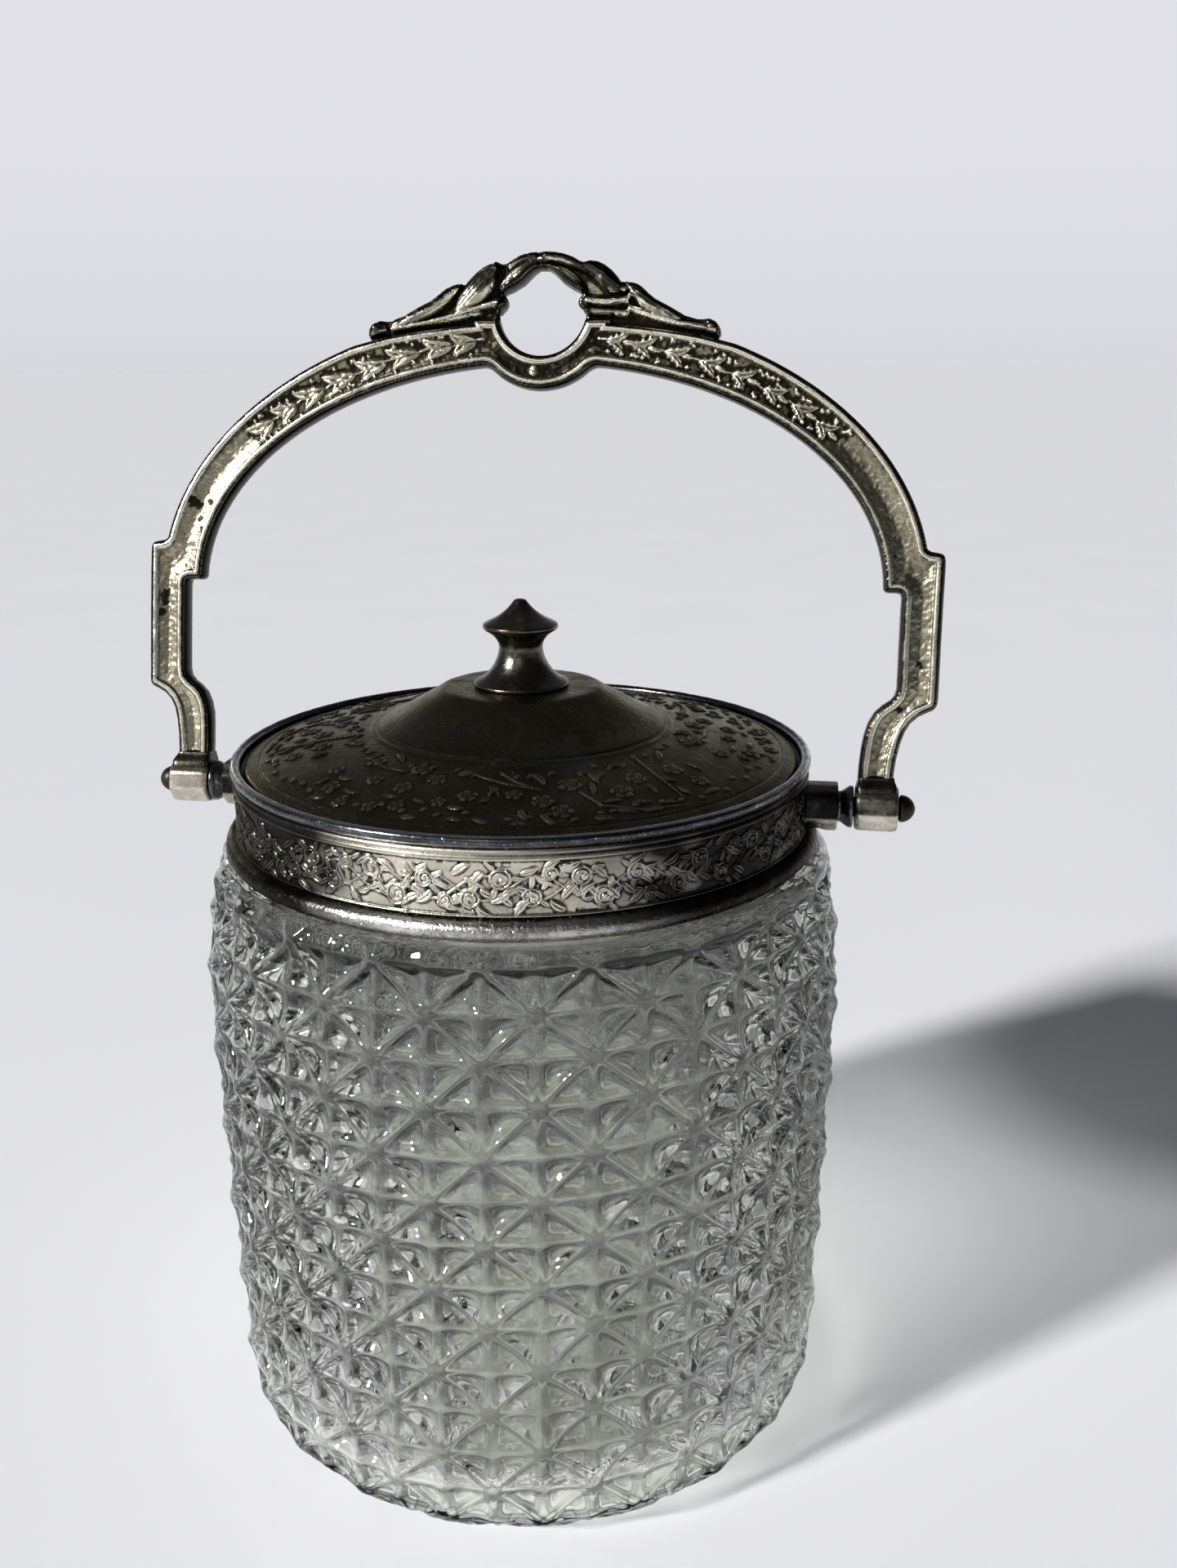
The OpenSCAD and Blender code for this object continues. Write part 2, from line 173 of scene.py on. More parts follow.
class Sheet:
    """A height map in millimetres over a flat rectangle, drawn with modelled strokes, leaves and blooms."""

    def __init__(self, x0, y0, x1, y1, res, wrap=False):
        self.x0, self.y0, self.res, self.wrap = x0, y0, res, wrap
        self.nx, self.ny = int(round((x1 - x0) / res)), int(round((y1 - y0) / res))
        self.w = self.nx * res
        self.x = x0 + (np.arange(self.nx) + 0.5) * res
        self.y = y0 + (np.arange(self.ny) + 0.5) * res
        self.h = np.zeros((self.nx, self.ny))

    def _win(self, xa, ya, xb, yb):
        res = self.res
        i0, i1 = int(math.floor((xa - self.x0) / res)), int(math.ceil((xb - self.x0) / res))
        j0, j1 = max(0, int(math.floor((ya - self.y0) / res))), min(self.ny, int(math.ceil((yb - self.y0) / res)))
        if self.wrap:
            i = np.arange(i0, i1)
            X = self.x0 + (i + 0.5) * res
            i = i % self.nx
        else:
            i0, i1 = max(0, i0), min(self.nx, i1)
            i = np.arange(i0, i1)
            X = self.x0 + (i + 0.5) * res
        j = np.arange(j0, j1)
        if len(i) == 0 or len(j) == 0:
            return None
        return i, j, X[:, None], self.y[j0:j1][None, :]

    def put(self, i, j, v, mode="max"):
        ix = np.ix_(i, j)
        if mode == "max":
            self.h[ix] = np.maximum(self.h[ix], v)
        elif mode == "add":
            self.h[ix] += v
        elif mode == "min":
            self.h[ix] = np.minimum(self.h[ix], v)

    def stroke(self, pts, w0, h, w1=None, mode="max", power=1.0):
        """A rounded bead along a polyline, w0 half wide at its start and w1 at its end."""
        pts = np.asarray(pts, dtype=float)
        w1 = w0 if w1 is None else w1
        wm = max(w0, w1)
        win = self._win(pts[:, 0].min() - wm, pts[:, 1].min() - wm, pts[:, 0].max() + wm, pts[:, 1].max() + wm)
        if win is None:
            return
        i, j, X, Y = win
        seg = np.linalg.norm(np.diff(pts, axis=0), axis=1)
        s = np.concatenate([[0], np.cumsum(seg)])
        L = max(s[-1], 1e-9)
        best = np.full((len(i), len(j)), 9.0)
        for k in range(len(pts) - 1):
            a, b = pts[k], pts[k + 1]
            d = b - a
            l2 = max(float(d @ d), 1e-12)
            t = np.clip(((X - a[0]) * d[0] + (Y - a[1]) * d[1]) / l2, 0, 1)
            dist = np.hypot(X - a[0] - t * d[0], Y - a[1] - t * d[1])
            w = w0 + (w1 - w0) * (s[k] + t * seg[k]) / L
            best = np.minimum(best, dist / np.maximum(w, 1e-6))
        v = h * np.clip(1 - best * best, 0, 1) ** (0.5 * power)
        if mode == "min":
            v = np.where(best < 1, -v, 9e9)
        elif mode == "add":
            pass
        self.put(i, j, v, mode)

    def leaf(self, a, b, width, h, bend=0.0, vein=0.35, notch=0, cup=0.0):
        """A leaf from its stalk a to its tip b: domed, with a vein, bent sideways by bend of its length."""
        a, b = np.asarray(a, float), np.asarray(b, float)
        L = np.linalg.norm(b - a)
        ex = (b - a) / L
        ey = np.array([-ex[1], ex[0]])
        m = width + abs(bend) * L + 0.3
        win = self._win(min(a[0], b[0]) - m, min(a[1], b[1]) - m, max(a[0], b[0]) + m, max(a[1], b[1]) + m)
        if win is None:
            return
        i, j, X, Y = win
        t = ((X - a[0]) * ex[0] + (Y - a[1]) * ex[1]) / L
        s = (X - a[0]) * ey[0] + (Y - a[1]) * ey[1]
        tc = np.clip(t, 0, 1)
        s = s - bend * L * 4 * tc * (1 - tc) * 0.5
        w = width * np.sin(math.pi * tc ** 0.8) ** 0.75
        if notch:
            w = w * (0.86 + 0.14 * np.cos(tc * 2 * math.pi * notch))
        q = np.abs(s) / np.maximum(w, 1e-6)
        v = h * np.clip(1 - q * q, 0, 1) ** 0.5 * (0.75 + 0.25 * np.sin(math.pi * tc))
        if cup:
            v = v * (1 - cup * np.exp(-(q / 0.55) ** 2))
        v = v - vein * h * np.exp(-(s / (0.10 * width + 0.05)) ** 2) * (q < 1)
        v = np.where((t > 0) & (t < 1) & (q < 1), v, 0)
        self.put(i, j, v)

    def dome(self, c, r, h, power=1.0, mode="max"):
        win = self._win(c[0] - r, c[1] - r, c[0] + r, c[1] + r)
        if win is None:
            return
        i, j, X, Y = win
        q = np.hypot(X - c[0], Y - c[1]) / r
        self.put(i, j, h * np.clip(1 - q * q, 0, 1) ** (0.5 * power), mode)

    def rose(self, c, r, h, turn=0.0, hand=1):
        """An open rose: outer petals round a coiled heart."""
        for k in range(5):
            t = turn + k * 2 * math.pi / 5
            self.dome((c[0] + 0.62 * r * math.cos(t), c[1] + 0.62 * r * math.sin(t)), 0.52 * r, 0.8 * h)
        self.dome(c, 0.62 * r, h * 1.1)
        pts = []
        for k in range(40):
            t = k / 39
            q = turn + hand * t * 2.1 * 2 * math.pi
            pts.append((c[0] + (0.08 + 0.66 * t) * r * math.cos(q), c[1] + (0.08 + 0.66 * t) * r * math.sin(q)))
        self.groove(pts, 0.10 * r, 0.75 * h)
        for k in range(5):
            t = turn + (k + 0.5) * 2 * math.pi / 5
            self.groove([(c[0] + 0.66 * r * math.cos(t), c[1] + 0.66 * r * math.sin(t)), (c[0] + 1.1 * r * math.cos(t), c[1] + 1.1 * r * math.sin(t))], 0.09 * r, 0.6 * h)

    def groove(self, pts, w, depth, w1=None):
        """Cuts a V line into what is there."""
        pts = np.asarray(pts, dtype=float)
        wm = max(w, w1 or w)
        win = self._win(pts[:, 0].min() - wm, pts[:, 1].min() - wm, pts[:, 0].max() + wm, pts[:, 1].max() + wm)
        if win is None:
            return
        i, j, X, Y = win
        seg = np.linalg.norm(np.diff(pts, axis=0), axis=1)
        s = np.concatenate([[0], np.cumsum(seg)])
        L = max(s[-1], 1e-9)
        w1 = w if w1 is None else w1
        best = np.full((len(i), len(j)), 9.0)
        for k in range(len(pts) - 1):
            a, b = pts[k], pts[k + 1]
            d = b - a
            l2 = max(float(d @ d), 1e-12)
            t = np.clip(((X - a[0]) * d[0] + (Y - a[1]) * d[1]) / l2, 0, 1)
            dist = np.hypot(X - a[0] - t * d[0], Y - a[1] - t * d[1])
            ww = w + (w1 - w) * (s[k] + t * seg[k]) / L
            best = np.minimum(best, dist / np.maximum(ww, 1e-6))
        self.put(i, j, -depth * np.clip(1 - best, 0, 1), "add")

    def sample(self, X, Y):
        fx = (np.asarray(X) - self.x0) / self.res - 0.5
        fy = (np.asarray(Y) - self.y0) / self.res - 0.5
        i, j = np.floor(fx).astype(int), np.floor(fy).astype(int)
        a, b = fx - i, fy - j
        if self.wrap:
            i0, i1 = i % self.nx, (i + 1) % self.nx
        else:
            i0, i1 = np.clip(i, 0, self.nx - 1), np.clip(i + 1, 0, self.nx - 1)
        j0, j1 = np.clip(j, 0, self.ny - 1), np.clip(j + 1, 0, self.ny - 1)
        h = self.h
        return (h[i0, j0] * (1 - a) + h[i1, j0] * a) * (1 - b) + (h[i0, j1] * (1 - a) + h[i1, j1] * a) * b


def curl(c, r0, r1, a0, a1, n=24):
    """Points of a spiral about c."""
    return [(c[0] + (r0 + (r1 - r0) * k / n) * math.cos(a0 + (a1 - a0) * k / n),
             c[1] + (r0 + (r1 - r0) * k / n) * math.sin(a0 + (a1 - a0) * k / n)) for k in range(n + 1)]


# ---------------------------------------------------------------- materials

class Tree:
    def __init__(self, name):
        self.mat = bpy.data.materials.new(name)
        self.mat.use_nodes = True
        self.nt = self.mat.node_tree
        self.nt.nodes.clear()
        self.out = self.nt.nodes.new("ShaderNodeOutputMaterial")
        self.bsdf = self.nt.nodes.new("ShaderNodeBsdfPrincipled")
        self.link(self.bsdf.outputs[0], self.out.inputs["Surface"])

    def node(self, kind, **props):
        n = self.nt.nodes.new(kind)
        for k, v in props.items():
            setattr(n, k, v)
        return n

    def link(self, a, b):
        self.nt.links.new(a, b)

    def coords(self):
        if not hasattr(self, "_tc"):
            self._tc = self.node("ShaderNodeTexCoord")
        return self._tc.outputs["Object"]

    def noise(self, scale, detail=4.0, rough=0.55, vec=None, distort=0.0):
        n = self.node("ShaderNodeTexNoise")
        n.inputs["Scale"].default_value = scale
        n.inputs["Detail"].default_value = detail
        n.inputs["Roughness"].default_value = rough
        n.inputs["Distortion"].default_value = distort
        self.link(vec or self.coords(), n.inputs["Vector"])
        return n.outputs["Fac"]

    def voronoi(self, scale, feature="F1", vec=None):
        n = self.node("ShaderNodeTexVoronoi", feature=feature)
        n.inputs["Scale"].default_value = scale
        self.link(vec or self.coords(), n.inputs["Vector"])
        return n.outputs["Distance"]

    def stretch(self, sx, sy, sz):
        m = self.node("ShaderNodeMapping")
        m.inputs["Scale"].default_value = (sx, sy, sz)
        self.link(self.coords(), m.inputs["Vector"])
        return m.outputs[0]

    def attr(self, name):
        a = self.node("ShaderNodeAttribute", attribute_name=name)
        return a.outputs["Fac"]

    def ramp(self, fac, stops):
        r = self.node("ShaderNodeValToRGB")
        el = r.color_ramp.elements
        while len(el) < len(stops):
            el.new(0.5)
        for e, (p, c) in zip(el, stops):
            e.position = p
            e.color = (*c, 1) if len(c) == 3 else c
        self.link(fac, r.inputs["Fac"])
        return r.outputs["Color"]

    def span(self, fac, a, b, c=0.0, d=1.0):
        m = self.node("ShaderNodeMapRange")
        m.clamp = True
        for k, v in (("From Min", a), ("From Max", b), ("To Min", c), ("To Max", d)):
            m.inputs[k].default_value = v
        self.link(fac, m.inputs["Value"])
        return m.outputs["Result"]

    def math(self, op, a, b=None):
        m = self.node("ShaderNodeMath", operation=op)
        for k, v in enumerate((a, b)):
            if v is None:
                continue
            if isinstance(v, (int, float)):
                m.inputs[k].default_value = v
            else:
                self.link(v, m.inputs[k])
        return m.outputs[0]

    def mix(self, fac, a, b, mode="MIX"):
        m = self.node("ShaderNodeMix", data_type="RGBA", blend_type=mode)
        m.clamp_factor = True
        for sock, v in ((m.inputs[0], fac), (m.inputs[6], a), (m.inputs[7], b)):
            if isinstance(v, (int, float)):
                sock.default_value = v
            elif isinstance(v, tuple):
                sock.default_value = (*v, 1)
            else:
                self.link(v, sock)
        return m.outputs[2]

    def height(self):
        s = self.node("ShaderNodeSeparateXYZ")
        self.link(self.coords(), s.inputs[0])
        return s.outputs

    def bump(self, h, strength, dist):
        b = self.node("ShaderNodeBump")
        b.inputs["Strength"].default_value = strength
        b.inputs["Distance"].default_value = dist
        self.link(h, b.inputs["Height"])
        if hasattr(self, "_bump"):
            self.link(self._bump, b.inputs["Normal"])
        self._bump = b.outputs[0]
        self.link(self._bump, self.bsdf.inputs["Normal"])

    def set(self, **kw):
        for k, v in kw.items():
            sock = self.bsdf.inputs[k.replace("_", " ")]
            if isinstance(v, (int, float)):
                sock.default_value = v
            elif isinstance(v, tuple):
                sock.default_value = (*v, 1) if len(v) == 3 and sock.type == "RGBA" else v
            else:
                self.link(v, sock)
        return self


def old_metal(name, bright, mid, dark, black, *, low=None, rough=(0.16, 0.42), tarnish=0.5, patches=45.0,
              speck=1400.0, spots=0.0, blue=0.0, scratch=0.25, grain=0.35, seed=0.0, attr_gain=1.0, side=None, bloom=(0.10, 0.135, 0.185),
              wear=None, worn=(0.80, 0.75, 0.65), wear_gain=0.85, fleck=0.0, edge=None, peel=None, ridge=0.035):
    """Worn plate over cast or stamped metal: patchy tarnish, dark recesses, fine pits and polished high spots, with
    painted shade where the low and side attributes carry it.
    """
    t = Tree(name)
    if edge:
        t.bsdf.inputs["Specular Tint"].default_value = (*edge, 1)
    big = t.noise(patches, 5, 0.6, distort=0.4)
    med = t.noise(patches * 5.3, 4, 0.62)
    fine = t.noise(speck, 3, 0.7)
    m = t.math("ADD", t.math("MULTIPLY", big, 0.55), t.math("MULTIPLY", med, 0.45))
    m = t.span(m, 0.5 - 0.28 * (1.15 - tarnish), 0.5 + 0.30 * (1.15 - tarnish * 0.3), 0.0, 1.0)
    col = t.ramp(m, [(0.0, dark), (0.42, mid), (1.0, bright)])
    rough_f = t.span(t.math("ADD", t.math("MULTIPLY", med, 0.6), t.math("MULTIPLY", fine, 0.4)), 0.35, 0.68, rough[1], rough[0])
    if low is not None:
        # low: name of the attribute that is 1 deep in the relief and 0 on its high spots; on the lugs and barrels it
        # carries painted shade and reflection instead
        deep = t.attr(low)
        jit = t.math("ADD", deep, t.math("MULTIPLY", t.math("SUBTRACT", med, 0.5), 0.55))
        col = t.mix(t.span(jit, 0.30, 0.95, 0.0, attr_gain), col, black)
        rough_f = t.math("ADD", rough_f, t.span(jit, 0.3, 1.0, 0.0, 0.22))
    # side: painted reflection and shade by angle on the collar and bead; on the bail it carries its dark patches and
    # outlines
    if side is not None:
        col = t.mix(t.span(t.attr(side), 0.0, 0.86, 0.0, 0.99), col, black)
    if spots:
        sp = t.span(t.noise(patches * 2.1, 6, 0.72, distort=1.2), 0.66 - spots * 0.1, 0.71, 0.0, 1.0)
        col = t.mix(sp, col, black)
        rough_f = t.math("ADD", rough_f, t.math("MULTIPLY", sp, 0.2))
    if blue:
        bl = t.span(t.noise(patches * 1.7, 4, 0.6, distort=0.8), 0.50, 0.66, 0.0, blue)
        col = t.mix(bl, col, bloom)
    if wear is not None:
        # wear: name of the attribute that is 1 where the relief stands proud and rubbing keeps it bright
        wv = t.math("ADD", t.attr(wear), t.math("MULTIPLY", t.math("SUBTRACT", med, 0.5), 0.5))
        wf = t.span(wv, 0.30, 0.85, 0.0, wear_gain)
        if side is not None:
            wf = t.math("MULTIPLY", wf, t.span(t.attr(side), 0.10, 0.72, 1.0, ridge))
        col = t.mix(wf, col, worn)
    if fleck:
        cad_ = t.span(t.noise(speck * 1.5, 2, 0.6), 0.60, 0.70, 0.0, fleck)
        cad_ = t.math("MULTIPLY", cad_, t.span(t.noise(patches * 2.0, 4, 0.65), 0.42, 0.60, 0.25, 1.0))
        if side is not None:
            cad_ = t.math("MULTIPLY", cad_, t.span(t.attr(side), 0.1, 0.8, 1.0, 0.10))
        col = t.mix(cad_, col, worn)
    pit = t.span(t.voronoi(speck * 0.9), 0.0, 0.32, 1.0, 0.0)
    pitm = t.math("MULTIPLY", pit, t.span(t.noise(patches * 3.3, 3, 0.6), 0.46, 0.60, 0.0, 1.0))
    col = t.mix(t.math("MULTIPLY", pitm, 0.55), col, black)
    t.set(Base_Color=col, Metallic=1.0, Roughness=rough_f)
    t.bump(t.math("SUBTRACT", fine, t.math("MULTIPLY", pitm, 1.6)), grain, 0.00006)
    if peel:
        t.bump(t.noise(peel[0], 3, 0.6), peel[1], peel[2])
    if scratch:
        sv = t.noise(900.0, 2, 0.5, vec=t.stretch(1.0, 0.06, 0.9))
        t.bump(sv, scratch, 0.00003)
    return t


def make_materials():
    M = {}
    # glass
    g = Tree("jar_glass")
    n1 = g.noise(260.0, 3, 0.6)
    # painted highlights and shade: thin bright and dark rings set into each hollow's tint stand in for the light it
    # bends, painted stronger near the base
    ce = g.math("ADD", g.attr("cell"), g.math("MULTIPLY", g.math("SUBTRACT", g.noise(300.0, 4, 0.6), 0.5), g.math("MULTIPLY", g.span(g.attr("cell"), 0.0, 0.5, 0.25, 1.0), 0.22)))
    painted_rings = g.ramp(ce, [(0.0, (0.47,) * 3), (0.07, (0.42,) * 3), (0.13, (0.26,) * 3), (0.22, (1.10,) * 3), (0.31, (0.50,) * 3), (0.39, (0.38,) * 3), (0.50, (0.50,) * 3),
                        (0.58, (0.30,) * 3), (0.67, (0.98,) * 3), (0.76, (0.46,) * 3), (0.86, (0.56,) * 3), (0.93, (0.42,) * 3), (1.0, (0.78,) * 3)])
    some = g.math("ADD", g.span(g.noise(95.0, 2, 0.5), 0.38, 0.58, 0.45, 1.3), g.math("MULTIPLY", g.attr("bend"), 1.3))
    val = g.math("ADD", g.attr("painted_shade"), g.math("MULTIPLY", g.math("SUBTRACT", painted_rings, 0.5), some))
    val = g.math("MAXIMUM", g.math("MINIMUM", val, 1.0), 0.09)
    g.set(Base_Color=g.ramp(val, [(0.0, (0.0, 0.0, 0.0)), (1.0, (0.99, 1.0, 0.935))]), Metallic=0.0, Roughness=0.0)
    g.link(g.span(g.attr("bend"), 0.0, 1.0, 1.5, 1.10), g.bsdf.inputs["IOR"])
    g.bsdf.inputs["Transmission Weight"].default_value = 1.0
    g.bump(n1, 0.10, 0.0004)
    # part of the light goes through to what lies in the jar's shadow
    lp = g.node("ShaderNodeLightPath")
    tr = g.node("ShaderNodeBsdfTransparent")
    tr.inputs[0].default_value = (0.755, 0.757, 0.75, 1)
    mx = g.node("ShaderNodeMixShader")
    g.link(lp.outputs["Is Shadow Ray"], mx.inputs[0])
    g.link(g.bsdf.outputs[0], mx.inputs[1])
    g.link(tr.outputs[0], mx.inputs[2])
    g.link(mx.outputs[0], g.out.inputs["Surface"])
    M["glass"] = g.mat
    p = Tree("plaster")
    f = p.noise(700.0, 4, 0.6)
    p.set(Base_Color=p.ramp(f, [(0.25, (0.13, 0.125, 0.085)), (0.75, (0.26, 0.25, 0.185))]), Roughness=0.9)
    p.bump(f, 0.4, 0.0002)
    M["plaster"] = p.mat
    # lid: dark olive brown tarnish with a bluish bloom
    M["lid"] = old_metal("lid_metal", (0.19, 0.172, 0.115), (0.070, 0.063, 0.041), (0.019, 0.017, 0.011), (0.0010, 0.0009, 0.0007), low="low",
                         rough=(0.17, 0.36), tarnish=0.6, patches=38, speck=1700, blue=0.45, spots=0.2, grain=0.9, attr_gain=0.97, bloom=(0.060, 0.078, 0.092),
                         wear="hi", worn=(0.56, 0.51, 0.36), wear_gain=0.40, fleck=0.26, edge=(0.78, 0.755, 0.66), peel=(640.0, 0.30, 0.00022)).mat
    M["band"] = old_metal("band_metal", (0.93, 0.89, 0.77), (0.70, 0.66, 0.545), (0.32, 0.29, 0.225), (0.007, 0.006, 0.0045), low="low",
                          rough=(0.15, 0.34), tarnish=0.45, patches=40, speck=1700, blue=0.10, grain=0.35, attr_gain=1.0, side="side",
                          wear="hi", worn=(0.92, 0.89, 0.78), wear_gain=0.62, fleck=0.35,
                          edge=(0.62, 0.61, 0.57), ridge=0.13).mat
    M["bead"] = old_metal("bead_metal", (0.86, 0.85, 0.82), (0.61, 0.60, 0.565), (0.19, 0.182, 0.16), (0.010, 0.009, 0.007), low="low",
                          rough=(0.14, 0.34), tarnish=0.5, patches=110, speck=1500, blue=0.12, spots=0.7, grain=0.9, side="side", fleck=0.9,
                          worn=(0.90, 0.88, 0.83), peel=(1500.0, 0.85, 0.00013), edge=(0.60, 0.59, 0.56)).mat
    M["rim"] = old_metal("rim_metal", (0.24, 0.26, 0.275), (0.062, 0.069, 0.074), (0.018, 0.020, 0.021), (0.006, 0.006, 0.006), low="low",
                         rough=(0.12, 0.27), tarnish=0.5, patches=60, speck=1500, blue=0.4, grain=0.6, bloom=(0.06, 0.085, 0.12), fleck=0.8,
                         worn=(0.70, 0.72, 0.74), wear="hi", wear_gain=0.8).mat
    M["bail"] = old_metal("bail_metal", (0.74, 0.70, 0.55), (0.41, 0.38, 0.275), (0.16, 0.14, 0.092), (0.006, 0.005, 0.0035), low="low",
                          rough=(0.14, 0.33), tarnish=0.50, patches=48, speck=1500, spots=0.22, grain=0.5, attr_gain=0.98, side="side",
                          wear="hi", worn=(0.88, 0.84, 0.73), wear_gain=0.8).mat
    M["boss"] = old_metal("boss_metal", (0.88, 0.84, 0.75), (0.62, 0.57, 0.48), (0.24, 0.21, 0.16), (0.012, 0.011, 0.009), low="low",
                          rough=(0.19, 0.34), tarnish=0.4, patches=130, speck=1700, spots=0.3, grain=0.3, attr_gain=0.97).mat
    M["dark"] = old_metal("dark_metal", (0.16, 0.145, 0.12), (0.05, 0.046, 0.038), (0.018, 0.016, 0.013), (0.006, 0.005, 0.004),
                          rough=(0.18, 0.38), tarnish=0.6, patches=150, speck=1500, spots=0.4, grain=0.4, fleck=0.4, worn=(0.45, 0.42, 0.35)).mat
    M["lug"] = old_metal("lug_metal", (0.70, 0.645, 0.53), (0.46, 0.42, 0.34), (0.16, 0.14, 0.105), (0.006, 0.005, 0.004), low="low", attr_gain=0.98,
                         rough=(0.16, 0.36), tarnish=0.5, patches=120, speck=1500, spots=0.4, blue=0.2, grain=0.4).mat
    M["spacer"] = old_metal("spacer_metal", (0.27, 0.285, 0.285), (0.11, 0.12, 0.122), (0.035, 0.038, 0.038), (0.008, 0.008, 0.008),
                            rough=(0.16, 0.32), tarnish=0.55, patches=140, speck=1600, spots=0.3, blue=0.35, grain=0.35).mat
    M["pin"] = old_metal("pin_metal", (0.13, 0.12, 0.09), (0.045, 0.040, 0.030), (0.016, 0.014, 0.011), (0.004, 0.004, 0.003),
                         rough=(0.28, 0.5), tarnish=0.6, patches=200, speck=1700, grain=0.5).mat
    M["finial"] = old_metal("finial_metal", (0.30, 0.275, 0.22), (0.10, 0.092, 0.070), (0.035, 0.032, 0.025), (0.008, 0.007, 0.006), low="low",
                            rough=(0.16, 0.34), tarnish=0.6, patches=75, speck=1500, blue=0.4, grain=0.45, bloom=(0.07, 0.085, 0.10)).mat
    M["brass"] = old_metal("brass_metal", (0.62, 0.47, 0.22), (0.42, 0.30, 0.13), (0.18, 0.13, 0.06), (0.03, 0.02, 0.01),
                           rough=(0.25, 0.45), tarnish=0.5, patches=150, speck=1500).mat
    # floor
    fl = Tree("floor_pale")
    f = fl.noise(9.0, 5, 0.5)
    fl.set(Base_Color=fl.ramp(f, [(0.3, (0.792, 0.803, 0.858)), (0.7, (0.806, 0.817, 0.872))]), Roughness=0.62)
    M["floor"] = fl.mat
    return M


M = make_materials()


# ---------------------------------------------------------------- glass jar

N_STAR = 21
HUB_Z = [138.0, 129.2, 120.6, 112.7, 104.6, 95.9, 86.5, 77.8, 69.2, 60.4, 51.9, 42.7, 33.8, 24.5, 16.0, 7.2, 0.0]


def envelope():
    """Radius of the outer envelope against height, from the foot to the turn under the collar."""
    pts = []
    for i in range(1, 25):
        a = math.radians(90 * i / 24)
        pts.append((13.6 * (1 - math.cos(a) ** 0.94), 48.8 + 14.5 * math.sin(a) ** 0.94))
    pts = [(0.0, 48.8)] + pts
    pts += [(30, 63.8), (45, 64.2), (60, 64.5), (75, 64.8), (90, 64.95), (96, 64.92), (100, 64.8), (105, 64.45), (110, 63.9),
            (115, 63.2), (118, 62.6), (120, 62.0), (121.5, 61.2), (122.5, 60.2), (123.0, 58.9)]
    return np.array(pts)


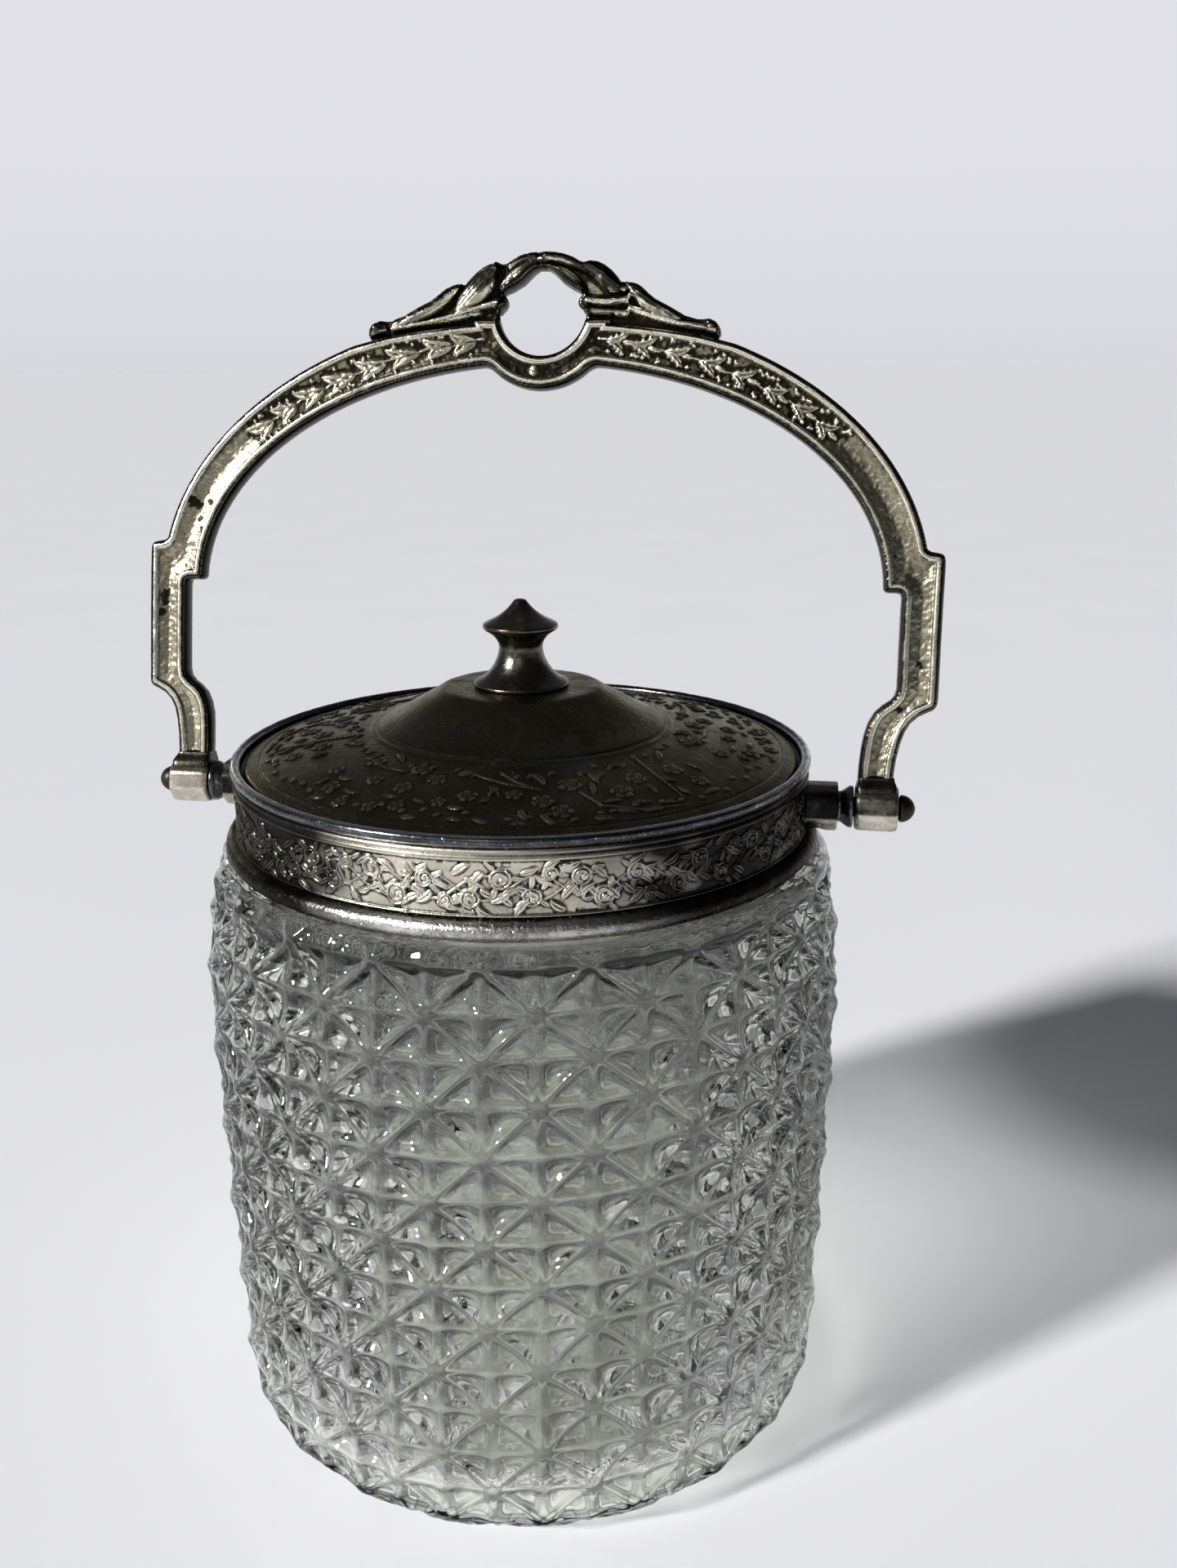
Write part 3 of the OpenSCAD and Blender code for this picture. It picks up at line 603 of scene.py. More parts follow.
def glass():
    K = 22
    nth = 2 * N_STAR * K
    th_fit = np.arange(nth) * 2 * math.pi / nth            # in the pattern's own frame, from its first hub column
    # hub columns: odd rows at -77.31 degrees in the part's frame
    start = math.radians(-77.31)
    th = th_fit + start
    tilt = 2.47 * np.cos(th - FIT)
    env = envelope()
    # outer relief rows, from the top row down to the underside
    rows_v, rows_z = [], []
    for j in range(len(HUB_Z) - 1):
        for k in range(K):
            rows_v.append(j + k / K)
            rows_z.append(HUB_Z[j] + (HUB_Z[j + 1] - HUB_Z[j]) * k / K)
    rows_v, rows_z = np.array(rows_v), np.array(rows_z)
    keep = (rows_z < 122.9) & (rows_z > 0.35)
    rows_v, rows_z = rows_v[keep], rows_z[keep]
    V, TH = np.meshgrid(rows_v, th_fit, indexing="xy")     # shape nth x rows
    Z0 = np.broadcast_to(rows_z, V.shape)
    w = smoothstep(3, 24, Z0) * (1 - smoothstep(106, 121.5, Z0)) + 0.25 * smoothstep(100, 118, Z0) * (1 - smoothstep(118, 122.0, Z0))
    Zt = Z0 + tilt[:, None] * w
    # barycentric pattern: hubs where (column + row) is even, counting row index 3 (z 112.7) as odd
    U = TH / (math.pi / N_STAR)
    ui, vi = np.floor(U + 1e-9), np.floor(V + 1e-9)
    a, b = U - ui, V - vi
    par = (ui + vi + 1) % 2                                # 0: the diagonal runs from (0,0) to (1,1)
    a2 = np.where(par == 0, a, 1 - a)
    lo, hi = np.minimum(a2, b), np.maximum(a2, b)
    l1, l2, l3 = 1 - hi, lo, hi - lo                       # two hubs, and the mid point
    # the upright rays melt away between the hubs, the level ones a little
    upper = (a2 < b)                                       # which triangle of the half cell
    lv = np.sqrt(np.where(upper, l2, l1) ** 2 + (0.13 * l3) ** 2)
    lh = np.sqrt(np.where(upper, l1, l2) ** 2 + (0.085 * l3) ** 2)
    l1, l2 = np.where(upper, lh, lv), np.where(upper, lv, lh)
    pa, pc = 0.74, 0.62
    s = 2 * pa + pc
    top = (pa / s) ** (2 * pa) * (pc / s) ** pc
    f = (np.clip(l1, 0, 1) * np.clip(l2, 0, 1)) ** pa * np.clip(l3, 0, 1) ** pc / top
    f0 = np.clip(0.55 * f + 0.45 * np.clip(1.6 * l3 * (l1 + l2) + 0.6 * np.minimum(l1, l2), 0, 1), 0, 1) * np.clip(np.minimum(np.minimum(l1, l2), l3) / 0.02, 0, 1)
    # straight-sided pyramids with soft ridges, blended with the rounder hollow
    kk_ = 13.0
    pyr = -np.log((np.exp(-kk_ * l1) + np.exp(-kk_ * l2) + np.exp(-kk_ * l3))) / kk_
    pyr = np.clip((pyr + math.log(3) / kk_ * 0.92) / (1 / 3.0), 0, 1.2)
    # broad round rays, and a thumb-print hollow between them
    pa, pc = 1.12, 1.00
    s = 2 * pa + pc
    top = (pa / s) ** (2 * pa) * (pc / s) ** pc
    g = (np.clip(l1, 0, 1) * np.clip(l2, 0, 1)) ** pa * np.clip(l3, 0, 1) ** pc / top
    f = 0.28 * np.clip(g, 0, 1) + 0.32 * np.clip(f, 0, 1) + 0.40 * pyr
    f = blur(f, 1, True)
    rng = np.random.default_rng(7)
    var = rng.uniform(0.80, 1.12, (2 * N_STAR, len(HUB_Z), 2))
    amp = var[ui.astype(int) % (2 * N_STAR), vi.astype(int), upper.astype(int)]
    depth = 3.3 * amp * (1 - smoothstep(119.0, 123.6, Z0 + 0.6 * tilt[:, None])) * smoothstep(-1.0, 3.0, Z0) * (0.50 + 0.50 * smoothstep(3.0, 14.0, Z0))
    wav = value_noise(V.shape, (84, 40), 11) * 0.05 + value_noise(V.shape, (30, 14), 12) * 0.10
    relief = -depth * f ** 1.0 + wav * smoothstep(1, 8, Z0) * (1 - smoothstep(118, 122, Z0))
    R = np.interp(Zt, env[:, 0], env[:, 1])
    dR = (np.interp(Zt + 0.3, env[:, 0], env[:, 1]) - np.interp(Zt - 0.3, env[:, 0], env[:, 1])) / 0.6
    nr = 1 / np.sqrt(1 + dR * dR)
    nz = -dR * nr
    Ro = R + relief * nr
    Zo = Zt + relief * nz
    Zo = np.maximum(Zo, 0.25)
    # painted shade in the glass tint, by which way each cut leans and with a random tone per cut: thin hollows that
    # lean upwards are painted clear, the rays and the overhangs grey, and the diagonal rays are pulled to mid grey
    gz = np.gradient(relief, rows_z, axis=1)
    gx = np.gradient(relief, math.pi / N_STAR / K * 62, axis=0)
    tone = rng.uniform(-0.10, 0.10, (2 * N_STAR, len(HUB_Z), 2))[ui.astype(int) % (2 * N_STAR), vi.astype(int), upper.astype(int)]
    painted_shade = 0.49 - 0.17 * np.clip(gz / 0.55, -1, 1) + 0.25 * np.clip(gx / 0.55, -1, 1) + 2.0 * tone * np.clip(f * 2, 0, 1)
    rib = np.exp(-(l3 / 0.085) ** 2)
    painted_shade = painted_shade + (0.50 - painted_shade) * 0.6 * rib
    # painted shade: a short dark streak hangs under every hub
    da = np.minimum(a, 1 - a)
    near_u = np.where(a > 0.5, 1.0, 0.0)
    hub_par = (ui + near_u + vi + 1) % 2                    # 0: the hub stands at the top of this row
    painted_streak = np.exp(-(da / 0.13) ** 2) * np.where(hub_par == 0, smoothstep(0.62, 0.05, b), 0.35 * smoothstep(0.80, 1.0, b))
    painted_shade = painted_shade - 0.20 * painted_streak
    # painted shade: the tint is evened out towards the foot and made lighter near the shoulder
    painted_shade = painted_shade + (0.46 - painted_shade) * 0.45 * smoothstep(13.0, 5.0, Z0) + 0.12 * smoothstep(94, 106, Z0) + 0.01
    painted_shade = np.clip(painted_shade - 0.03, 0.14, 0.95)
    # where the painted eye-shaped rings of each hollow lie, told apart from hollow to hollow
    off = rng.uniform(-0.13, 0.13, (2 * N_STAR, len(HUB_Z), 2))[ui.astype(int) % (2 * N_STAR), vi.astype(int), upper.astype(int)]
    lean_ = rng.uniform(-0.5, 0.5, (2 * N_STAR, len(HUB_Z), 2))[ui.astype(int) % (2 * N_STAR), vi.astype(int), upper.astype(int)]
    cell = np.clip((pyr - 0.20) / 0.80, 0, 1)
    cell = cell * (1 + off * cell) * (1 + lean_ * (l1 - l2) * cell) + 0.09 * value_noise(V.shape, (150, 90), 24) * cell
    cell = np.clip(cell, 0, 1) * (1 - smoothstep(119.0, 122.5, Z0))
    # under the foot: shallow hollow with a smooth ring
    foot = np.array([(0.4, 1.6), (8, 1.55), (20, 1.5), (32, 1.4), (38.5, 1.3), (40.5, 0.9), (42.5, 0.25), (44.0, 0.02), (46.0, 0.0), (47.8, 0.05), (48.8, 0.2)])
    foot = dense(soften(foot, 1.0, 2), 2.2)
    # neck, mouth and the smooth inside, going up the outside and down the inside
    neck = [(59.4, 123.05), (56.6, 123.2), (54.4, 123.4), (53.3, 124.2), (53.2, 126), (53.2, 130), (53.2, 136.8), (52.9, 137.4), (52.2, 137.6), (51.2, 137.5),
            (50.6, 137.0), (50.4, 136), (50.4, 131), (50.4, 126), (50.6, 123), (51.6, 121.4)]
    rb, rs, rm = 48.8, 63.3, 65.0
    for i in range(8, -1, -1):
        q = math.radians(90 * i / 9)
        neck.append((50.8 + 9.1 * math.cos(q) ** 0.54, 88 + 31 * math.sin(q) ** 0.96))
    neck = [p for p in neck if p[1] > 90 or p[0] < 60]
    low = [(rm - 5.3, 84), (64.5 - 5.3, 60), (63.8 - 5.2, 36), (rs - 5.1, 24)]
    for i in range(9, -1, -1):
        q = math.radians(90 * i / 9)
        low.append((rb - 4 + (rs - 5.1 - rb + 4) * math.sin(q) ** 0.94, 6.0 + 13.6 * (1 - math.cos(q) ** 0.94)))
    low += [(34, 5.7), (22, 5.5), (10, 5.4), (0.4, 5.4)]
    inner = dense(soften(np.array(neck + low), 1.5, 3), 1.3)
    th_n = th[:, None]

    def block(P):
        Rb = np.broadcast_to(P[:, 0], (nth, len(P))).copy()
        Zb = np.broadcast_to(P[:, 1], (nth, len(P))).copy()
        return Rb, Zb
    Rf, Zf = block(foot)
    Ri, Zi = block(inner)
    # hand-made unevenness of the inside wall
    n_in = value_noise(Ri.shape, (44, 26), 21) * 0.20 + value_noise(Ri.shape, (16, 12), 22) * 0.38
    idx = np.arange(Ri.shape[1])
    inside = smoothstep(118, 108, Zi[0]) * smoothstep(6.0, 14.0, Zi[0]) * (idx > 20)
    Ri = Ri + n_in * inside[None, :]
    fl_in = (Zi[0] < 7.0)
    Zi = Zi + value_noise(Ri.shape, (18, 20), 23) * 0.25 * fl_in[None, :] * smoothstep(0, 12, Ri)
    ce = np.concatenate([np.zeros(Rf.shape), cell[:, ::-1], np.zeros(Ri.shape)], axis=1)
    # the thick base bends the light less sharply than the wall
    low_o = smoothstep(16.0, 7.0, Z0)
    low_i = smoothstep(20.0, 8.0, Zi)
    be = np.concatenate([np.ones(Rf.shape), low_o[:, ::-1], low_i], axis=1)
    # painted shade in the inside wall's tint: it follows the wall's unevenness and is lighter towards the base
    sh_in = 0.50 + 0.10 * n_in / 0.4 + 0.14 * smoothstep(22.0, 6.0, Zi)
    sh_in = np.where(Zi > 121.0, 0.72, sh_in)
    sh = np.concatenate([np.full(Rf.shape, 0.85), painted_shade[:, ::-1], np.clip(sh_in, 0.3, 0.95)], axis=1)
    Rall = np.concatenate([Rf, Ro[:, ::-1], Ri], axis=1)
    Zall = np.concatenate([Zf, Zo[:, ::-1], Zi], axis=1)
    nv = Rall.shape[1]
    P = np.stack([Rall * np.cos(th_n), Rall * np.sin(th_n), Zall], axis=-1)
    base = nth * nv
    verts = np.concatenate([P.reshape(-1, 3), [[0, 0, 1.6], [0, 0, 5.4]]])
    u = np.arange(nth)
    v = np.arange(nv - 1)
    Ug, Vg = np.meshgrid(u, v, indexing="ij")
    U2 = (Ug + 1) % nth
    A, B, C, D = Ug * nv + Vg, U2 * nv + Vg, U2 * nv + Vg + 1, Ug * nv + Vg + 1
    # split each square of the relief along its ray
    col = Ug // K
    nf, no = Rf.shape[1], Ro.shape[1]
    rel = (Vg >= nf) & (Vg < nf + no - 1)
    row = np.zeros_like(Vg)
    vv = rows_v[::-1]
    kk = np.clip(Vg - nf, 0, no - 2)
    row = np.floor(vv[kk + 1] + 1e-6).astype(int)
    d_main = (col + row + 1) % 2 == 1                      # after the flip of the rows, A-C lies along the ray
    tri1 = np.where(d_main[..., None], np.stack([A, B, C], -1), np.stack([A, B, D], -1))
    tri2 = np.where(d_main[..., None], np.stack([A, C, D], -1), np.stack([B, C, D], -1))
    T = np.concatenate([tri1[rel], tri2[rel]])
    Q = np.stack([A, B, C, D], -1)[~rel]
    cap0 = np.stack([np.full(nth, base), (u + 1) % nth * nv, u * nv], -1)
    cap1 = np.stack([np.full(nth, base + 1), u * nv + nv - 1, (u + 1) % nth * nv + nv - 1], -1)
    o = mesh_object("glass_jar_cut", verts, [T, Q, cap0, cap1], M["glass"], True, {"painted_shade": np.concatenate([sh.ravel(), [0.85, 0.85]]), "cell": np.concatenate([ce.ravel(), [0.0, 0.0]]),
                                                                                   "bend": np.concatenate([be.ravel(), [1.0, 1.0]])})
    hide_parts("glass_jar")
    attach(o, "jar")
    return o


glass()


# ---------------------------------------------------------------- collar

def spray_band():
    """The collar's ornament: roses and leafy sprays. x runs along the collar, y up."""
    L = 360.0                       # one degree of the collar is drawn as one millimetre
    S = Sheet(0, -0.2, L, 10.4, 0.07, wrap=True)
    rng = np.random.default_rng(31)
    S.h[:] = -0.10
    per = 18.0
    n = int(L / per)

    def leaf(x, y, q, ln, w, bend):
        b = (x + ln * math.cos(q), y + ln * math.sin(q))
        if -0.1 < b[1] < 10.1:
            S.leaf((x, y), b, w, rng.uniform(0.34, 0.52), bend=bend, vein=0.6)
    for k in range(n):
        x0 = k * per
        up = 1 if k % 2 == 0 else -1
        # the garland's stems
        for ph, w in ((0.0, 0.20), (math.pi, 0.17)):
            xs = np.linspace(x0, x0 + per, 24)
            S.stroke(np.stack([xs, 5.0 + 2.2 * np.sin((xs - x0) / per * math.pi * 2 + ph)], -1), w, 0.20)
        # sprays that lean along the band, packed close
        for m in range(24):
            x = x0 + (m + rng.uniform(0.0, 1.0)) * per / 24
            y = (0.8, 6.6, 3.6, 8.8, 1.9, 5.1, 7.6, 2.8)[m % 8] + rng.uniform(-0.5, 0.5)
            q = (1 if (m // 2) % 2 else -1) * rng.uniform(0.35, 0.95) + (0 if m % 3 else math.pi)
            leaf(x, y, q, rng.uniform(2.9, 4.4), rng.uniform(0.58, 0.84), rng.uniform(-0.24, 0.24))
        for dx, y, r in ((2.6, 5.0 + 2.0 * up, 1.95), (7.2, 5.0 - 1.7 * up, 2.1), (12.2, 5.0 + 1.6 * up, 1.85), (15.6, 5.0 - 2.5 * up, 1.5)):
            cx, cy = x0 + dx + rng.uniform(-0.5, 0.5), y + rng.uniform(-0.3, 0.3)
            t0, hand = rng.uniform(0, 6.28), rng.choice([-1, 1])
            for m in range(3):
                q = t0 + m * 2.1 + 0.8
                leaf(cx + math.cos(q) * r * 0.8, cy + math.sin(q) * r * 0.8, q + rng.uniform(-0.3, 0.3), rng.uniform(2.0, 3.0), 0.52, rng.uniform(-0.25, 0.25))
            # cupped bloom: a hollow ring of crescent petals round a bud
            S.dome((cx, cy), r * 0.98, 0.30)
            for rr, a0, span, w, h in ((0.80, 0.0, 2.3, 0.26, 0.55), (0.80, 2.6, 1.9, 0.24, 0.50), (0.80, 4.7, 1.4, 0.22, 0.46), (0.50, 1.2, 2.2, 0.20, 0.50), (0.50, 3.9, 2.0, 0.20, 0.50)):
                S.stroke(curl((cx, cy), r * rr, r * rr * 0.92, t0 + hand * a0, t0 + hand * (a0 + span), 12), w * r / 1.8, h, 0.10)
            S.dome((cx, cy), r * 0.26, 0.52)
            S.groove(curl((cx + 0.12 * r, cy - 0.1 * r), r * 0.90, r * 0.20, t0, t0 + hand * 7.6, 44), 0.085 * r, 0.36)
    # border lines
    for y, w, h in ((0.12, 0.22, 0.30), (10.0, 0.22, 0.30)):
        S.stroke([(0, y), (L * 0.5, y), (L, y)], w, h)
    S.h += value_noise(S.h.shape, (1400, 50), 5) * 0.02
    # flattened by wear
    S.h = np.where(S.h > 0.40, 0.40 + (S.h - 0.40) * 0.5, S.h)
    return S


def collar():
    S = spray_band()
    near = blur(S.h, 5, True)
    lowmap = np.clip((near - S.h) / 0.07, 0, 1) * 1.0
    LS = Sheet(0, -0.2, 360, 10.4, S.res, wrap=True)
    LS.h = np.clip(blur(lowmap, 1, True), 0, 1)
    HS = Sheet(0, -0.2, 360, 10.4, S.res, wrap=True)
    HS.h = np.clip(0.55 * np.clip((S.h - near) / 0.12, 0, 1) + 0.75 * np.clip((S.h - 0.24) / 0.22, 0, 1), 0, 1)
    nth = 2880
    th = np.arange(nth) * 2 * math.pi / nth
    z_rel = np.linspace(127.4, 137.5, 92)
    deg = np.degrees(th) % 360
    X, Y = np.meshgrid(deg, z_rel - 127.4, indexing="ij")
    hgt = S.sample(X, Y)
    lo = LS.sample(X, Y)
    hi = HS.sample(X, Y)
    hollow = -0.30 * np.sin(math.pi * np.clip((z_rel - 127.4) / 10.1, 0, 1))
    R = 56.62 + hollow[None, :] + hgt * 0.78
    Z = np.broadcast_to(z_rel, R.shape).copy()
    # seam: a soldered upright ridge of blobs
    seam = math.radians(-98.9)
    d = (th[:, None] - (seam % (2 * math.pi))) * 56.8
    lump = value_noise((4, len(z_rel)), (1, 26), 77, wrap0=False)[0]
    R += (0.16 + 0.14 * lump[None, :]) * np.exp(-(d / (0.42 + 0.12 * lump[None, :])) ** 2)
    lo = np.maximum(lo, 0.9 * np.exp(-((np.abs(d) - 0.75) / 0.25) ** 2) * (0.6 + 0.4 * lump[None, :]))
    # plain strip above and the tucked edge below
    top = np.array([(56.75, 137.75), (56.72, 138.0), (56.55, 138.1), (56.5, 138.4), (56.55, 139.05), (55.9, 139.1), (55.85, 135), (55.85, 129), (55.85, 127.4), (56.2, 127.38)])
    Rt = np.broadcast_to(top[:, 0], (nth, len(top)))
    Zt = np.broadcast_to(top[:, 1], (nth, len(top)))
    R = np.concatenate([R, Rt], 1)
    Z = np.concatenate([Z, Zt], 1)
    lo = np.concatenate([lo, np.broadcast_to(np.array([0.5, 0.7, 0.9, 0.5, 0.3, 0.9, 1, 1, 1, 1.0]), Rt.shape)], 1)
    hi = np.concatenate([hi, np.broadcast_to(np.array([0.1, 0.2, 0, 0.4, 0.6, 0, 0, 0, 0, 0.0]), Rt.shape)], 1)
    wob = 0.05 * np.sin(3 * th + 1.0) + 0.04 * np.sin(7 * th)
    R = R + wob[:, None] * 0.6
    P = np.stack([R * np.cos(th)[:, None], R * np.sin(th)[:, None], Z], -1).reshape(-1, 3)
    # painted reflection and shade by angle round the collar, with some noise
    side = painted_sheen_round(th)
    sd = np.broadcast_to(side[:, None], R.shape)
    nz = value_noise(R.shape, (60, 6), 41) * 0.22
    o = mesh_object("collar_embossed", P, grid_faces(nth, R.shape[1], wrap_u=True, wrap_v=True), M["band"], True,
                    {"low": lo.ravel(), "hi": hi.ravel(), "side": np.clip(sd + nz * (sd > 0.03), 0, 1).ravel()})
    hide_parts("collar_band"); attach(o, "jar")


def painted_sheen_round(th):
    """Painted reflection and shade round the collar by angle: bright at the front left, brown-black elsewhere."""
    d = (np.degrees(th) + 180) % 360 - 180
    a = 0.45 * smoothstep(-96, -108, d) + 0.53 * smoothstep(-106, -126, d) + 0.03 * np.cos(np.radians(d) * 7)
    b = smoothstep(-76, -52, d) * 0.82 + smoothstep(-56, -36, d) * 0.15 + 0.03 * np.cos(np.radians(d) * 9)
    s = np.where(d < -92, a, b)
    s = np.where(d > 0, 0.90 + 0.06 * np.cos(np.radians(d) * 5), s)
    # the back is plain old silver again
    w = np.where(d > 0, smoothstep(8, 40, d), smoothstep(-158, -177, d))
    s = s * (1 - w) + (0.42 + 0.06 * np.cos(np.radians(d) * 5)) * w
    return np.clip(s, 0, 0.98)


def turned(name, profile, mat, body, node, n=720, rough=0.02, seed=3, side=False, low=None, cells=(300, 12), at=None, wrap=True, hi=None):
    p = np.asarray(profile, float)
    th = np.arange(n) * 2 * math.pi / n
    R = np.broadcast_to(p[:, 0], (n, len(p))).copy()
    Z = np.broadcast_to(p[:, 1], (n, len(p))).copy()
    c = p.mean(0)
    nz = value_noise(R.shape, cells, seed) + 0.5 * value_noise(R.shape, (max(2, cells[0] // 5), max(1, cells[1] // 3)), seed + 1)
    dr, dz = p[:, 0] - c[0], p[:, 1] - c[1]
    ln = np.hypot(dr, dz) + 1e-6
    R += rough * nz * (dr / ln)[None, :] * (R > 0.6)
    Z += rough * nz * (dz / ln)[None, :]
    P = np.stack([R * np.cos(th)[:, None], R * np.sin(th)[:, None], Z], -1).reshape(-1, 3)
    at_ = {}
    at_["low"] = (np.zeros(R.shape) if low is None else np.broadcast_to(low(p), R.shape)).ravel()
    at_["hi"] = np.clip(0.25 * nz, 0, 1).ravel() + 0.0 * R.ravel() if hi is None else np.broadcast_to(hi(p), R.shape).ravel()
    # side: painted reflection and shade by angle round the collar
    at_["side"] = (np.broadcast_to(painted_sheen_round(th)[:, None], R.shape) if side else np.zeros(R.shape)).ravel()
    o = mesh_object(name, P, grid_faces(n, len(p), wrap_u=True, wrap_v=wrap), mat, True, at_)
    if at is not None:
        o.data.transform(at)
    if node:
        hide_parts(*([node] if isinstance(node, str) else node))
    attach(o, body)
    return o


def rings():
    # lower bead, with the groove above it
    c, r = (57.0, 125.1), 1.9
    pr = [(c[0] + r * math.cos(q), c[1] + r * math.sin(q)) for q in np.radians(np.linspace(-150, 62, 26))]
    pr += [(57.2, 126.95), (56.75, 127.05), (56.55, 127.2), (55.9, 127.3), (55.4, 126.6), (55.15, 125.4), (55.2, 124.6)]
    turned("collar_bead", pr, M["bead"], "jar", "foot_bead", rough=0.055, seed=51, side=True, cells=(520, 10),
           low=lambda p: smoothstep(126.4, 127.1, p[:, 1]) * 1.0 + 0.5 * smoothstep(124.2, 123.4, p[:, 1]))
    # rim: rolled edge, plain strip below it and the ledge inside
    c, r = (56.15, 140.42), 0.96
    pr = [(c[0] + 0.97 * math.cos(q), c[1] + r * math.sin(q)) for q in np.radians(np.linspace(-62, 196, 24))]
    pr += [(55.2, 139.6), (55.0, 139.32), (53.6, 139.3), (52.25, 139.28), (52.2, 138.9), (52.4, 138.55), (54.0, 138.5), (55.75, 138.52), (55.8, 139.12), (56.4, 139.15)]
    turned("rim_rolled", pr, M["rim"], "jar", "rim_ring", rough=0.03, seed=53, side=True, cells=(210, 8),
           low=lambda p: 1.0 * (smoothstep(139.9, 139.4, p[:, 1])), hi=lambda p: 0.75 * np.exp(-((p[:, 1] - 141.25) / 0.22) ** 2) * (p[:, 0] > 56.0) + 0.7 * np.exp(-((p[:, 1] - 139.7) / 0.25) ** 2) * (p[:, 0] > 56.3))
    # plaster
    pr = soften([(53.3, 124.0), (54.6, 124.3), (54.85, 126.8), (55.7, 128.2), (55.7, 138.2), (54.6, 138.35), (53.3, 138.1), (53.3, 131)], 0.3, 3)
    turned("neck_plaster", pr, M["plaster"], "jar", "neck_cement", n=360, rough=0.04, seed=55)


def on_pivot(sign, z0):
    """Turned about X: local Z becomes the outward X direction on the given side."""
    m = Matrix(((0, 0, sign, 0), (0, 1, 0, 0), (-sign, 0, 0, 0), (0, 0, 0, 1))) if sign > 0 else Matrix(((0, 0, -1, 0), (0, 1, 0, 0), (1, 0, 0, 0), (0, 0, 0, 1)))
    m = m.copy()
    m[0][3] = sign * z0 * MM
    m[2][3] = PIVOT_Z * MM
    return m


def lug(sign, name, node):
    # a bar with bevelled edges; its section is drawn in y, z and it runs outwards from the collar
    h, w, b = 4.6, 4.2, 2.4
    sec = np.array([(-w + b, -h), (w - b, -h), (w, -h + b), (w, h - b), (w - b, h), (-w + b, h), (-w, h - b), (-w, -h + b)])
    sec = np.concatenate([sec, sec[:1]])
    sec = dense(sec, 0.5)[:-1]
    # slightly rounded corners
    for _ in range(2):
        sec = 0.25 * np.roll(sec, 1, 0) + 0.5 * sec + 0.25 * np.roll(sec, -1, 0)
    n = len(sec)
    # painted shade and reflection: the faces above the bottom bevel are painted dark, the top bevel a little lighter,
    # the bottom bevel left bright
    painted_face_shade = np.clip(0.97 * smoothstep(-1.9, -1.5, sec[:, 1]) - 0.35 * smoothstep(3.3, 4.0, sec[:, 1]), 0, 1)
    xs = [56.0, 57.5, 59.0, 60.5, 61.6, 62.2, 62.5, 62.58, 62.6]
    sc = [1, 1, 1, 1, 1, 1, 0.985, 0.95, 0.9]
    rings_ = []
    rng = np.random.default_rng(5)
    for x, k in zip(xs, sc):
        q = sec * k
        xx = np.full(n, x)
        if x < 60:
            # follow the round of the collar
            xx = np.maximum(xx, np.sqrt(np.maximum(56.75 ** 2 - q[:, 0] ** 2, 0)) + (0 if x < 57 else (x - 56.0)) * 0.4)
        zz = q[:, 1].copy()
        if x < 59.2:
            zz = np.maximum(zz, -4.0)
        rings_.append(np.stack([sign * xx, q[:, 0], PIVOT_Z + zz], -1))
    V = np.concatenate(rings_ + [[[sign * 62.6, 0, PIVOT_Z]], [[sign * 56.4, 0, PIVOT_Z]]])
    F = grid_faces(len(xs), n, wrap_v=True, flip=(sign > 0))
    k = (len(xs) - 1) * n
    i = np.arange(n)
    e = np.stack([k + i, k + (i + 1) % n, np.full(n, len(V) - 2)], -1)
    e0 = np.stack([(i + 1) % n, i, np.full(n, len(V) - 1)], -1)
    if sign < 0:
        e, e0 = e[:, ::-1], e0[:, ::-1]
    o = mesh_object(name, V, [F[:, ::-1], e, e0], M["lug"], False, {"low": np.concatenate([np.tile(painted_face_shade, len(xs)), [0.9, 0.9]])})
    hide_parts(node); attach(o, "jar")
    bv = o.modifiers.new("edge", "BEVEL")
    bv.width = 0.0002
    bv.segments = 2
    bv.limit_method = "ANGLE"
    bv.angle_limit = math.radians(22)


def pivots():
    for sign, tag in ((1, "right"), (-1, "left")):
        lug(sign, "lug_" + tag + "_block", "lug_" + tag)
        # cone and ball spacer, local z from 0 at x 62.6
        pr = [(2.05, 0.0), (2.9, 0.0), (3.02, 0.2), (3.0, 0.45), (3.12, 0.75), (3.4, 1.15), (3.75, 1.6), (4.02, 2.05), (4.15, 2.45), (4.15, 2.75), (3.98, 2.96), (2.05, 3.0)]
        pr = soften(pr, 0.2, 2)
        turned("spacer_" + tag + "_turned", pr, M["spacer"], "jar", "spacer_" + tag, n=96, rough=0.015, seed=61, cells=(40, 8), at=on_pivot(sign, 62.6))
        pr = [(0.01, 0.0), (1.98, 0.0), (1.98, 16.35), (2.25, 16.4), (2.6, 16.6)]
        for q in np.radians(np.linspace(0, 90, 12)):
            pr.append((2.65 * math.cos(q) if q < 1.57 else 0.01, 16.75 + 2.75 * math.sin(q)))
        turned("pin_" + tag + "_rivet", pr, M["pin"], "jar", "pin_" + tag, n=64, rough=0.03, seed=63, cells=(16, 10), at=on_pivot(sign, 58.0), wrap=False)


# ---------------------------------------------------------------- lid

